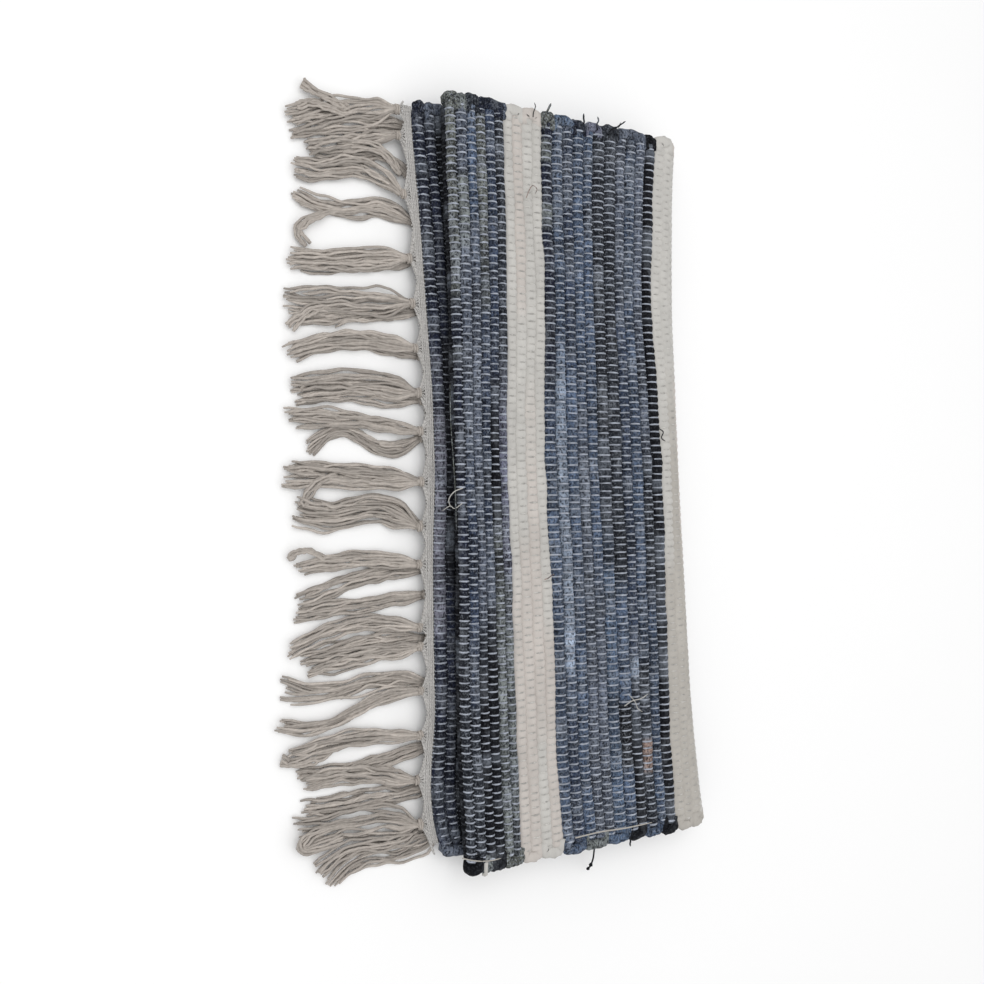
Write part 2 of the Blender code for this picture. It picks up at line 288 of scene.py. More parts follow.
# knots sit at an even pitch, each a little off it; a tassel leans, bows and waves sideways from its knot, in
# steps of 5 mm
KNOT_PITCH = 35.0
UPPER_FIRST_KNOT = -270.0
LOWER_FIRST_KNOT = -280.0
Tassel = namedtuple("Tassel", "knot tip reach bow wave width")
Hang = namedtuple("Hang", "slip lean length bow wave width")
UPPER_HANGS = (
    Hang(5, 5, 185, 5, 0, 26),
    Hang(5, 10, 180, 5, 0, 15),
    Hang(5, -5, 190, 5, 0, 13),
    Hang(5, -15, 195, -5, 5, 10),
    Hang(5, -10, 175, 0, 0, 15),
    Hang(-15, -10, 190, 10, 0, 14),
    Hang(0, 0, 185, 5, 0, 13),
    Hang(-5, 15, 185, 5, 5, 24),
    Hang(-5, 5, 195, 0, 0, 17),
    Hang(0, 5, 190, 5, 0, 15),
    Hang(-5, 0, 185, 5, 0, 22),
    Hang(-5, -10, 190, 10, 0, 13),
    Hang(-5, -5, 195, 0, 0, 20),
    Hang(-5, -10, 190, 0, 0, 18),
    Hang(10, 10, 185, 10, 5, 16),
    Hang(20, -20, 175, 0, 0, 12),
    Hang(5, -25, 190, 5, 0, 20),
)
LOWER_HANGS = (
    Hang(5, -25, 160, 5, -5, 24),
    Hang(5, 0, 175, 0, 0, 15),
    Hang(5, -10, 180, -5, 0, 13),
    Hang(20, 5, 195, 0, 5, 16),
    Hang(20, -10, 180, 5, 0, 12),
    Hang(20, -10, 185, 0, 0, 12),
    Hang(5, -20, 180, 5, 0, 12),
    Hang(5, 15, 180, 5, 5, 16),
    Hang(5, 10, 185, 0, 0, 14),
    Hang(5, -15, 175, 5, -10, 12),
    Hang(0, 0, 185, 5, 0, 17),
    Hang(0, -5, 185, 10, 0, 12),
    Hang(0, -15, 185, 0, 0, 13),
    Hang(5, -10, 180, 0, 0, 15),
    Hang(0, 10, 185, 0, 5, 15),
    Hang(0, 5, 170, 10, 5, 11),
    Hang(5, -20, 185, 5, 0, 15),
)


def hung(first_knot, hangs):
    """Tassels in world millimetres: knot i at first + pitch i + slip, its tip aside by the lean."""
    knots = [first_knot + KNOT_PITCH * place + hang.slip for place, hang in enumerate(hangs)]
    return tuple(
        Tassel(knot, knot + hang.lean, -hang.length, hang.bow, hang.wave, hang.width)
        for knot, hang in zip(knots, hangs)
    )


UPPER_TASSELS = hung(UPPER_FIRST_KNOT, UPPER_HANGS)
LOWER_TASSELS = hung(LOWER_FIRST_KNOT, LOWER_HANGS)


# ---------------------------------------------------------------- small helpers


def smoothstep(share):
    """0 below 0, 1 above 1, and 3t^2 - 2t^3 between."""
    share = np.clip(share, 0.0, 1.0)
    return share * share * (3.0 - 2.0 * share)


def unit(vectors):
    """Each vector divided by its own length."""
    return vectors / np.maximum(np.linalg.norm(vectors, axis=-1, keepdims=True), 1e-9)


def angles_round(sides):
    """The angles round a tube with this many sides."""
    return np.linspace(0, 2 * math.pi, sides, endpoint=False)


def linear(rgb):
    """A screen colour of 0 to 255 as linear light: ((c + 0.055) / 1.055) ^ 2.4 above the foot."""
    c = np.asarray(rgb, dtype=float) / 255.0
    return np.where(c <= 0.04045, c / 12.92, ((c + 0.055) / 1.055) ** 2.4)


def noise_rows(rng, rows, samples, waves):
    """Rows of smooth noise from -1 to 1: random heights at even nodes, joined by smoothstep."""
    nodes = rng.uniform(-1.0, 1.0, (rows, waves + 2))
    place = np.linspace(0.0, waves, samples)
    left = np.minimum(np.floor(place).astype(int), waves)
    share = smoothstep(place - left)
    return nodes[:, left] * (1.0 - share) + nodes[:, left + 1] * share


def smooth_table(table, column, places, spread=5.0):
    """A table's column along y, linear between its rows and then averaged over a bell-shaped window."""
    values = np.interp(places, [row.y for row in table], [getattr(row, column) for row in table])
    reach = int(3 * spread)
    bell = np.exp(-0.5 * (np.arange(-reach, reach + 1) / spread) ** 2)
    bell /= bell.sum()
    before = 2 * values[0] - values[reach:0:-1]
    after = 2 * values[-1] - values[-2:-reach - 2:-1]
    return np.convolve(np.concatenate([before, values, after]), bell, mode="valid")


# ---------------------------------------------------------------- the folded cloth

Cloth = namedtuple("Cloth", "points along outward ends")


def fold_path(column):
    """The cloth's middle line for every station, from the lower end to the upper end: four straight layers
    joined by three half turns, x = centre + reach cos a and z = middle + radius sin a. Returns x, z and the
    marks of the turns."""
    half = CLOTH_THICKNESS / 2
    outer_radius = (LAYER_Z[3] - LAYER_Z[0]) / 2
    outer_reach = outer_radius * OUTER_FOLD_SWELL
    inner_radius = (LAYER_Z[2] - LAYER_Z[1]) / 2
    lifted = LAYER_Z[3] + column["rise"][:, None]
    left_radius = (lifted - LAYER_Z[2]) / 2
    outer_x = (column["outer_fold"] - half - outer_reach)[:, None]
    inner_x = (column["inner_fold"] - half - inner_radius)[:, None]
    left_x = column["left_fold"][:, None] + half + left_radius
    lower_x = column["lower_end"][:, None]
    upper_x = column["upper_end"][:, None]
    counts = (60, 60, 120, 50, 60, 40, 61)
    share = [np.linspace(0.0, 1.0, n, endpoint=(n == 61))[None, :] for n in counts]
    turn = [np.pi * (s - 0.5) for s in share]
    top_x = outer_x + (left_x - outer_x) * share[2]
    xs = (
        lower_x + (outer_x - lower_x) * share[0],
        outer_x + outer_reach * np.cos(turn[1]),
        top_x,
        left_x - left_radius * np.cos(turn[3]),
        left_x + (inner_x - left_x) * share[4],
        inner_x + inner_radius * np.cos(turn[5]),
        inner_x + (upper_x - inner_x) * share[6],
    )
    flat = np.zeros((STATIONS, 1))
    zs = (
        flat + LAYER_Z[0] + 0 * share[0],
        flat + (LAYER_Z[0] + LAYER_Z[3]) / 2 + outer_radius * np.sin(turn[1]),
        LAYER_Z[3] + column["rise"][:, None] * smoothstep(1.0 - (top_x - left_x) / LEFT_FOLD_RISE_LENGTH),
        (lifted + LAYER_Z[2]) / 2 - left_radius * np.sin(turn[3]),
        flat + LAYER_Z[2] + 0 * share[4],
        flat + (LAYER_Z[1] + LAYER_Z[2]) / 2 - inner_radius * np.sin(turn[5]),
        flat + LAYER_Z[1] + 0 * share[6],
    )
    starts = np.concatenate([[0], np.cumsum(counts)])
    folds = tuple(starts[part] + counts[part] // 2 for part in (1, 3, 5))
    marks = (0,) + folds + (starts[-1] - 1,)
    return np.concatenate(xs, axis=1), np.concatenate(zs, axis=1), marks


def row_edges(lengths, fold_length, column):
    """The path length at each edge between two rows of weft. Rows from the left fold outwards follow the
    stripes; the rest share what is left of each half. Widths vary by a seeded share."""
    rng = np.random.default_rng(SEED)
    total = lengths[:, -1:]
    fold = fold_length[:, None]

    def spread(start, end, count, wobble=0.13):
        widths = 1.0 + rng.uniform(-wobble, wobble, count)
        steps = np.concatenate([[0.0], np.cumsum(widths) / widths.sum()])
        return start + (end - start) * steps[None, :]

    reach = 0.8
    cream = column["cream_start"][:, None] - reach
    cream_end = column["cream_end"][:, None] - reach
    edge = column["edge_start"][:, None] - reach
    outward = [
        spread(0.0 * fold, cream, FOLD_ROWS),
        spread(cream, cream_end, CREAM_ROWS, 0.05),
        spread(cream_end, edge, DENIM_ROWS),
        spread(edge, edge + EDGE_WIDTH, CREAM_ROWS, 0.05),
        spread(edge + EDGE_WIDTH, fold, UNDER_ROWS),
    ]
    outer = np.concatenate([part[:, :-1] for part in outward] + [fold], axis=1)
    inner = spread(fold, total, INNER_ROWS)
    edges = np.concatenate([(fold - outer)[:, ::-1], inner[:, 1:]], axis=1)
    drift = noise_rows(rng, ROWS + 1, STATIONS, 30).T * 0.7
    drift[:, [0, -1]] = 0.0
    return edges + drift


@functools.lru_cache(maxsize=1)
def folded_cloth():
    """The cloth's middle surface on a grid of stations across and sixteenths of a row along, with the direction
    along the path and the outward one, which is (dz, 0, -dx) turned from it."""
    shares = np.linspace(0.0, 1.0, STATIONS)
    y = LEFT_FOLD.near + (LEFT_FOLD.far - LEFT_FOLD.near) * shares
    column = {name: smooth_table(SECTIONS, name, y) for name in Section._fields[1:]}
    column.update({name: smooth_table(STRIPES, name, y) for name in Stripe._fields[1:]})
    x, z, marks = fold_path(column)
    steps = np.hypot(np.diff(x, axis=1), np.diff(z, axis=1))
    lengths = np.concatenate([np.zeros((STATIONS, 1)), np.cumsum(steps, axis=1)], axis=1)
    turns = (LOWER_END, OUTER_FOLD, LEFT_FOLD, INNER_FOLD, UPPER_END)
    place = np.arange(x.shape[1])
    near = np.interp(place, marks, [turn.near for turn in turns])
    far = np.interp(place, marks, [turn.far for turn in turns])
    ys = near[None, :] + (far - near)[None, :] * shares[:, None]
    edges = row_edges(lengths, lengths[:, marks[2]], column)
    wanted = np.linspace(0.0, ROWS, ROWS * ROW_STEPS + 1)
    points = np.empty((STATIONS, wanted.size, 3))
    for station in range(STATIONS):
        at = np.interp(wanted, np.arange(ROWS + 1), edges[station])
        for axis, source in enumerate((x, ys, z)):
            points[station, :, axis] = np.interp(at, lengths[station], source[station])
    along = np.gradient(points, axis=1)
    along[..., 1] = 0.0
    along = unit(along)
    outward = np.stack([along[..., 2], np.zeros(along.shape[:2]), -along[..., 0]], axis=-1)
    ends = {
        "upper": (column["upper_end"], UPPER_END.near + (UPPER_END.far - UPPER_END.near) * shares),
        "lower": (column["lower_end"], LOWER_END.near + (LOWER_END.far - LOWER_END.near) * shares),
    }
    return Cloth(points, along, outward, ends)


def lay(share, row):
    """Points on the cloth's middle surface at a share of its width and a row of weft, both arrays, by bilinear
    interpolation, with the along and outward directions there."""
    cloth = folded_cloth()
    share, row = np.broadcast_arrays(share, row)
    across = np.clip(share, 0.0, 1.0) * (STATIONS - 1)
    down = np.clip(row, 0.0, ROWS) * ROW_STEPS
    i = np.minimum(across.astype(int), STATIONS - 2)
    j = np.minimum(down.astype(int), ROWS * ROW_STEPS - 1)
    u = (across - i)[..., None]
    v = (down - j)[..., None]

    def blend(grid):
        return (grid[i, j] * (1 - u) + grid[i + 1, j] * u) * (1 - v) + (
            grid[i, j + 1] * (1 - u) + grid[i + 1, j + 1] * u
        ) * v

    return blend(cloth.points), unit(blend(cloth.along)), unit(blend(cloth.outward))


# ---------------------------------------------------------------- meshes from arrays

Batch = namedtuple("Batch", "vertices quads triangles surface bake colours")


def tubes(path, hint, rise, width, angles, colours):
    """Closed tubes along paths of shape (tubes, samples, 3): each ring is centre + A rise cos a + B width sin a,
    where T is the tangent, A is the hint made square to T, and B is T x A. Each end closes on one pole. The
    colours' fourth channel is how far the yarn is flecked, 0 if it isn't given."""
    tangent = unit(np.gradient(path, axis=1))
    hint = np.broadcast_to(hint, path.shape)
    first = unit(hint - (hint * tangent).sum(axis=-1, keepdims=True) * tangent)
    second = np.cross(tangent, first)
    count, samples, _ = path.shape
    sides = len(angles)
    rise = np.broadcast_to(np.asarray(rise, dtype=float), (count, samples, sides))
    width = np.broadcast_to(np.asarray(width, dtype=float), (count, samples, sides))
    ring = (
        path[:, :, None, :]
        + first[:, :, None, :] * (rise * np.cos(angles))[..., None]
        + second[:, :, None, :] * (width * np.sin(angles))[..., None]
    )
    stride = samples * sides + 2
    ends = [0, -1]
    poles = path[:, ends] + tangent[:, ends] * np.array([-0.25, 0.25])[None, :, None] * rise[:, ends, :1]
    vertices = np.concatenate([ring.reshape(count, -1, 3), poles], axis=1).reshape(-1, 3)
    k, n, m = np.meshgrid(np.arange(count), np.arange(samples - 1), np.arange(sides), indexing="ij")
    after = (m + 1) % sides
    base = k * stride
    here = base + n * sides
    there = base + (n + 1) * sides
    quads = np.stack([here + m, here + after, there + after, there + m], axis=-1).reshape(-1, 4)
    k0, m0 = np.meshgrid(np.arange(count), np.arange(sides), indexing="ij")
    next_m = (m0 + 1) % sides
    base0 = k0 * stride
    last = base0 + (samples - 1) * sides
    pole = base0 + samples * sides
    start_cap = np.stack([pole, base0 + next_m, base0 + m0], axis=-1)
    end_cap = np.stack([pole + 1, last + m0, last + next_m], axis=-1)
    triangles = np.concatenate([start_cap.reshape(-1, 3), end_cap.reshape(-1, 3)])

    steps = np.linalg.norm(np.diff(path, axis=1), axis=-1)
    run = np.concatenate([np.zeros((count, 1)), np.cumsum(steps, axis=1)], axis=1)
    girth = 2 * math.pi * float(np.mean(rise + width)) / 2

    side_n = np.stack([n, n, n + 1, n + 1], axis=-1)
    side_m = np.stack([m, m + 1, m + 1, m], axis=-1)
    side_k = np.broadcast_to(k[..., None], side_n.shape)
    around_quads = side_m / sides
    surface_quads = np.stack([around_quads * girth, run[side_k, side_n]], axis=-1)
    bake_quads = np.stack(
        [(side_k + 0.04 + 0.92 * around_quads) / count, 0.01 + 0.98 * side_n / (samples - 1)], axis=-1
    )
    cap_m = np.stack([m0 + 0.5, m0 + 1.0, m0 + 0.0], axis=-1)
    cap_k = np.broadcast_to(k0[..., None], cap_m.shape)
    start_run = np.broadcast_to(run[:, 0][k0][..., None], cap_m.shape)
    end_run = np.broadcast_to(run[:, -1][k0][..., None], cap_m.shape)
    cap_u = (cap_k + 0.04 + 0.92 * cap_m / sides) / count
    start_v = np.broadcast_to(np.array([0.002, 0.01, 0.01]), cap_m.shape)
    end_m = np.stack([m0 + 0.5, m0 + 0.0, m0 + 1.0], axis=-1)
    end_u = (cap_k + 0.04 + 0.92 * end_m / sides) / count
    surface_caps = [
        np.stack([cap_m / sides * girth, start_run], axis=-1),
        np.stack([end_m / sides * girth, end_run], axis=-1),
    ]
    bake_caps = [np.stack([cap_u, start_v], axis=-1), np.stack([end_u, 1.0 - start_v], axis=-1)]
    surface = np.concatenate([surface_quads.reshape(-1, 2)] + [c.reshape(-1, 2) for c in surface_caps])
    bake = np.concatenate([bake_quads.reshape(-1, 2)] + [c.reshape(-1, 2) for c in bake_caps])
    colours = np.asarray(colours, dtype=float)
    if colours.shape[-1] == 3:
        colours = np.concatenate([colours, np.zeros(colours.shape[:-1] + (1,))], axis=-1)
    colours = np.broadcast_to(colours, (count, samples, sides, 4))
    tips = colours[:, [0, -1]].mean(axis=2)
    colours = np.concatenate([colours.reshape(count, -1, 4), tips], axis=1).reshape(-1, 4)
    return Batch(vertices, quads, triangles, surface, bake, colours)


def make_piece(name, batches, material, replaces=()):
    """One mesh object from batches of tubes, with its pattern map in millimetres, its own baking map and its
    colours. It rides on the rug's body and takes the material it is given."""
    vertices, quads, triangles, surface_q, surface_t, bake_q, bake_t, colours = ([] for _ in range(8))
    offset = 0
    sizes = np.array([batch.quads.shape[0] for batch in batches], dtype=float)
    edges = np.concatenate([[0.0], np.cumsum(sizes / sizes.sum())])
    for batch, left, right in zip(batches, edges[:-1], edges[1:]):
        split = batch.quads.size
        placed = batch.bake * np.array([(right - left) * 0.996, 1.0]) + np.array([left, 0.0])
        vertices.append(batch.vertices)
        quads.append(batch.quads + offset)
        triangles.append(batch.triangles + offset)
        surface_q.append(batch.surface[:split])
        surface_t.append(batch.surface[split:])
        bake_q.append(placed[:split])
        bake_t.append(placed[split:])
        colours.append(batch.colours)
        offset += batch.vertices.shape[0]
    vertices = np.concatenate(vertices) * MM
    vertices[:, 2] = np.maximum(vertices[:, 2], LIES_AT)
    quads = np.concatenate(quads)
    triangles = np.concatenate(triangles)
    surface = np.concatenate(surface_q + surface_t)
    bake = np.concatenate(bake_q + bake_t)
    colours = np.concatenate(colours)
    mesh = bpy.data.meshes.new(name)
    mesh.vertices.add(len(vertices))
    mesh.vertices.foreach_set("co", vertices.astype(np.float32).ravel())
    corners = np.concatenate([quads.ravel(), triangles.ravel()]).astype(np.int32)
    starts = np.concatenate([np.arange(len(quads)) * 4, quads.size + np.arange(len(triangles)) * 3])
    mesh.loops.add(len(corners))
    mesh.loops.foreach_set("vertex_index", corners)
    mesh.polygons.add(len(starts))
    mesh.polygons.foreach_set("loop_start", starts.astype(np.int32))
    mesh.polygons.foreach_set("use_smooth", np.ones(len(starts), dtype=bool))
    mesh.update(calc_edges=True)
    for layer_name, values in (("Strip", surface), ("OFBake", bake)):
        layer = mesh.uv_layers.new(name=layer_name)
        layer.data.foreach_set("uv", values.astype(np.float32).ravel())
    attribute = mesh.color_attributes.new(name="dye", type="FLOAT_COLOR", domain="POINT")
    attribute.data.foreach_set("color", colours.astype(np.float32).ravel())
    if mesh.validate(clean_customdata=False):
        raise RuntimeError(f"{name} has a broken face")
    mesh.materials.append(material)
    piece = bpy.data.objects.new(name, mesh)
    bpy.context.scene.collection.objects.link(piece)
    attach(piece, BODY)
    if replaces:
        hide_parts(*replaces)
    return piece


# ---------------------------------------------------------------- materials


def add_node(tree, kind, **values):
    """A new node with its plain settings, or its inputs' values where the name is an input's."""
    node = tree.nodes.new(kind)
    for key, value in values.items():
        if hasattr(node, key) and key not in node.inputs:
            setattr(node, key, value)
        else:
            node.inputs[key].default_value = value
    return node


def new_group(name, inputs, outputs):
    """A shader node group with named sockets, and its two end nodes."""
    group = bpy.data.node_groups.new(name, "ShaderNodeTree")
    for label, kind, value in inputs:
        socket = group.interface.new_socket(label, in_out="INPUT", socket_type=kind)
        socket.default_value = value
    for label, kind in outputs:
        group.interface.new_socket(label, in_out="OUTPUT", socket_type=kind)
    return group, group.nodes.new("NodeGroupInput"), group.nodes.new("NodeGroupOutput")


def math_node(tree, operation, first, second):
    """A Math node fed by sockets or plain numbers."""
    node = add_node(tree, "ShaderNodeMath", operation=operation)
    for index, source in enumerate((first, second)):
        if isinstance(source, bpy.types.NodeSocket):
            tree.links.new(source, node.inputs[index])
        elif source is not None:
            node.inputs[index].default_value = source
    return node.outputs[0]


def mix_colour(tree, share, first, second, blend="MIX"):
    """A colour Mix node fed by sockets or plain values."""
    node = add_node(tree, "ShaderNodeMix", data_type="RGBA", blend_type=blend)
    for index, source in ((0, share), (6, first), (7, second)):
        if isinstance(source, bpy.types.NodeSocket):
            tree.links.new(source, node.inputs[index])
        else:
            node.inputs[index].default_value = source
    return node.outputs[2]


def stretched_noise(tree, scale, stretch, detail, roughness=0.55):
    """Noise on Object coordinates, in grains per metre, drawn out along an axis."""
    place = add_node(tree, "ShaderNodeTexCoord")
    mapping = add_node(tree, "ShaderNodeMapping", vector_type="POINT")
    mapping.inputs["Scale"].default_value = stretch
    tree.links.new(place.outputs["Object"], mapping.inputs["Vector"])
    noise = add_node(tree, "ShaderNodeTexNoise", Scale=scale, Detail=detail, Roughness=roughness)
    tree.links.new(mapping.outputs["Vector"], noise.inputs["Vector"])
    return noise.outputs["Fac"]


def ramp(tree, source, low, high):
    """0 where the source is at low, 1 where it is at high, and smooth between."""
    node = add_node(tree, "ShaderNodeMapRange", interpolation_type="SMOOTHSTEP")
    node.inputs["From Min"].default_value = low
    node.inputs["From Max"].default_value = high
    tree.links.new(source, node.inputs["Value"])
    return node.outputs["Result"]


def strip_map(tree):
    """The piece's own map: millimetres round the strip, and along it."""
    uv = add_node(tree, "ShaderNodeUVMap", uv_map="Strip")
    split = tree.nodes.new("ShaderNodeSeparateXYZ")
    tree.links.new(uv.outputs["UV"], split.inputs[0])
    return split.outputs["X"], split.outputs["Y"]


def build_rag_group():
    """Torn cloth: the dye, paler where the weave is worn and darker in the creases with painted shade, with
    flecks of undyed yarn, dark flecks and fibres drawn out along the strip. Fleck is 0 on plain pale cloth,
    which then stays smooth."""
    group, start, end = new_group(
        "torn_cloth",
        [
            ("Dye", "NodeSocketColor", (0.1, 0.1, 0.1, 1.0)),
            ("Fleck", "NodeSocketFloat", 0.4),
            ("Wear", "NodeSocketFloat", 0.3),
        ],
        [("Colour", "NodeSocketColor"), ("Height", "NodeSocketFloat"), ("Roughness", "NodeSocketFloat")],
    )
    fibres = stretched_noise(group, 900.0, (1.0, 0.3, 1.0), 4.0, 0.7)
    grain = stretched_noise(group, 760.0, (1.0, 0.8, 1.0), 3.0, 0.7)
    holes = stretched_noise(group, 600.0, (1.0, 0.7, 1.0), 3.0, 0.7)
    creases = stretched_noise(group, 240.0, (1.0, 0.35, 1.0), 3.0, 0.6)
    patches = stretched_noise(group, 70.0, (1.0, 0.5, 1.0), 3.0, 0.6)
    around, along = strip_map(group)
    slant = math_node(group, "ADD", around, along)
    twill = math_node(group, "SINE", math_node(group, "MULTIPLY", slant, 2 * math.pi / 1.4), None)
    fleck = start.outputs["Fleck"]
    coloured = ramp(group, fleck, 0.0, 0.2)
    light = math_node(group, "MULTIPLY", ramp(group, grain, 0.5, 0.62), fleck)
    darkest = math_node(group, "MULTIPLY", coloured, 0.86)
    dark = math_node(group, "MULTIPLY", ramp(group, holes, 0.48, 0.6), darkest)
    worn = math_node(group, "MULTIPLY", ramp(group, patches, 0.5, 0.7), start.outputs["Wear"])
    worn = math_node(group, "MULTIPLY", worn, coloured)
    paler = mix_colour(group, worn, start.outputs["Dye"], (0.34, 0.37, 0.42, 1.0))
    flecked = mix_colour(group, math_node(group, "MULTIPLY", light, 0.7), paler, (0.34, 0.37, 0.42, 1.0))
    deeper = mix_colour(group, dark, flecked, (0.004, 0.005, 0.009, 1.0))
    # painted shade: the colour is darkened where the crease noise is low, in the hollows of the bump, more on
    # dyed cloth than on cream
    crease = math_node(group, "SUBTRACT", 1.0, ramp(group, creases, 0.3, 0.62))
    painted_shade_amount = math_node(group, "ADD", math_node(group, "MULTIPLY", coloured, 0.42), 0.07)
    crease = math_node(group, "MULTIPLY", crease, painted_shade_amount)
    shade = math_node(group, "SUBTRACT", 1.08, crease)
    shade = math_node(group, "ADD", shade, math_node(group, "MULTIPLY", twill, 0.03))
    grey = group.nodes.new("ShaderNodeCombineColor")
    for socket in grey.inputs:
        group.links.new(shade, socket)
    dyed = mix_colour(group, 1.0, deeper, grey.outputs[0], "MULTIPLY")
    height = math_node(group, "ADD", creases, math_node(group, "MULTIPLY", fibres, 0.55))
    height = math_node(group, "ADD", height, math_node(group, "MULTIPLY", grain, 0.4))
    height = math_node(group, "ADD", height, math_node(group, "MULTIPLY", twill, 0.04))
    relief = math_node(group, "ADD", math_node(group, "MULTIPLY", coloured, 0.65), 0.35)
    height = math_node(group, "MULTIPLY", height, relief)
    rough = math_node(group, "ADD", math_node(group, "MULTIPLY", fibres, 0.18), 0.78)
    group.links.new(dyed, end.inputs["Colour"])
    group.links.new(height, end.inputs["Height"])
    group.links.new(rough, end.inputs["Roughness"])
    return group


def build_cotton_group():
    """Twisted cotton: plies wind round the strand as sin(round + along / pitch), with painted shade between
    them, loose fibres and soft stains."""
    group, start, end = new_group(
        "twisted_cotton",
        [
            ("Cotton", "NodeSocketColor", (0.6, 0.55, 0.5, 1.0)),
            ("Ply", "NodeSocketFloat", 2.6),
            ("Depth", "NodeSocketFloat", 0.35),
        ],
        [("Colour", "NodeSocketColor"), ("Height", "NodeSocketFloat"), ("Roughness", "NodeSocketFloat")],
    )
    around, along = strip_map(group)
    wound = math_node(group, "ADD", around, along)
    turns = math_node(group, "DIVIDE", wound, start.outputs["Ply"])
    ply = math_node(group, "SINE", math_node(group, "MULTIPLY", turns, 2 * math.pi), None)
    groove = ramp(group, ply, -1.0, 0.1)
    fibres = stretched_noise(group, 900.0, (0.3, 1.0, 1.0), 3.0, 0.65)
    stains = stretched_noise(group, 90.0, (1.0, 1.0, 1.0), 3.0, 0.6)
    # painted shade: the colour is darkened in the grooves between the plies
    painted_shade_amount = math_node(group, "MULTIPLY", math_node(group, "SUBTRACT", 1.0, groove), start.outputs["Depth"])
    shade = math_node(group, "SUBTRACT", 1.02, painted_shade_amount)
    for texture, strength, least in ((fibres, 0.7, 0.65), (stains, 0.3, 0.85)):
        lit = math_node(group, "ADD", math_node(group, "MULTIPLY", texture, strength), least)
        shade = math_node(group, "MULTIPLY", shade, lit)
    grey = group.nodes.new("ShaderNodeCombineColor")
    for socket in grey.inputs:
        group.links.new(shade, socket)
    dyed = mix_colour(group, 1.0, start.outputs["Cotton"], grey.outputs[0], "MULTIPLY")
    height = math_node(group, "MULTIPLY", groove, 0.8)
    height = math_node(group, "ADD", height, math_node(group, "MULTIPLY", fibres, 0.5))
    rough = math_node(group, "ADD", math_node(group, "MULTIPLY", fibres, 0.15), 0.8)
    group.links.new(dyed, end.inputs["Colour"])
    group.links.new(height, end.inputs["Height"])
    group.links.new(rough, end.inputs["Roughness"])
    return group


def cloth_material(name, group, source_input, values, bump, sheen):
    """A Principled cloth fed by one of the groups, on the piece's own dye."""
    material = bpy.data.materials.new(name)
    material.use_nodes = True
    tree = material.node_tree
    shader = tree.nodes["Principled BSDF"]
    shader.inputs["Specular IOR Level"].default_value = 0.15
    shader.inputs["Sheen Weight"].default_value = sheen
    shader.inputs["Sheen Roughness"].default_value = 0.6
    effect = tree.nodes.new("ShaderNodeGroup")
    effect.node_tree = group
    dye = add_node(tree, "ShaderNodeAttribute", attribute_name="dye")
    tree.links.new(dye.outputs["Color"], effect.inputs[source_input])
    if "Fleck" in effect.inputs:
        tree.links.new(dye.outputs["Alpha"], effect.inputs["Fleck"])
    for key, value in values.items():
        effect.inputs[key].default_value = value
    relief = add_node(tree, "ShaderNodeBump", Strength=bump[0], Distance=bump[1])
    tree.links.new(effect.outputs["Height"], relief.inputs["Height"])
    tree.links.new(effect.outputs["Colour"], shader.inputs["Base Color"])
    tree.links.new(effect.outputs["Roughness"], shader.inputs["Roughness"])
    tree.links.new(relief.outputs["Normal"], shader.inputs["Normal"])
    return material


@functools.lru_cache(maxsize=None)
def finish_for(name):
    """The rug's finishes, each made once when a piece first asks for it."""
    if name in ("torn_cloth", "twisted_cotton"):
        return {"torn_cloth": build_rag_group, "twisted_cotton": build_cotton_group}[name]()
    if name == "rag_strips":
        return cloth_material(name, finish_for("torn_cloth"), "Dye", {"Wear": 0.3}, (0.9, 0.0011), 0.0)
    if name == "warp_cotton":
        return cloth_material(
            name, finish_for("twisted_cotton"), "Cotton", {"Ply": 2.2, "Depth": 0.12}, (0.6, 0.0003), 0.0
        )
    if name == "fringe_yarn":
        return cloth_material(
            name, finish_for("twisted_cotton"), "Cotton", {"Ply": 6.0, "Depth": 0.05}, (0.7, 0.0003), 0.0
        )
    if name == "heading_yarn":
        return cloth_material(
            name, finish_for("twisted_cotton"), "Cotton", {"Ply": 2.8, "Depth": 0.2}, (0.7, 0.0004), 0.0
        )
    raise KeyError(name)


# ---------------------------------------------------------------- the weft


def row_names():
    """The colour names of every row from the lower end to the upper end: the outer half counted back from the
    left fold, then the inner half, whose stripes repeat every fifteen rows."""
    rng = np.random.default_rng(SEED + 1)
    repeat = CREAM_ROWS + DENIM_ROWS

    def hidden():
        return Row(*rng.choice(HIDDEN_SHADES, 3))

    def cream():
        return Row(*rng.choice(("cream", "shell", "ivory"), 3))

    outward = list(TOP_ROWS)
    for count in range(UNDER_ROWS):
        outward.append(cream() if count % repeat >= DENIM_ROWS else hidden())
    inward = [FOLD_ROW]
    for count in range(1, INNER_ROWS - len(UPPER_END_ROWS)):
        inward.append(cream() if (count - 5) % repeat < CREAM_ROWS else hidden())
    return outward[::-1] + inward + list(UPPER_END_ROWS)


def is_cream(names):
    """Whether a row is one of the pale stripe's."""
    return names.middle in ("cream", "shell", "ivory")


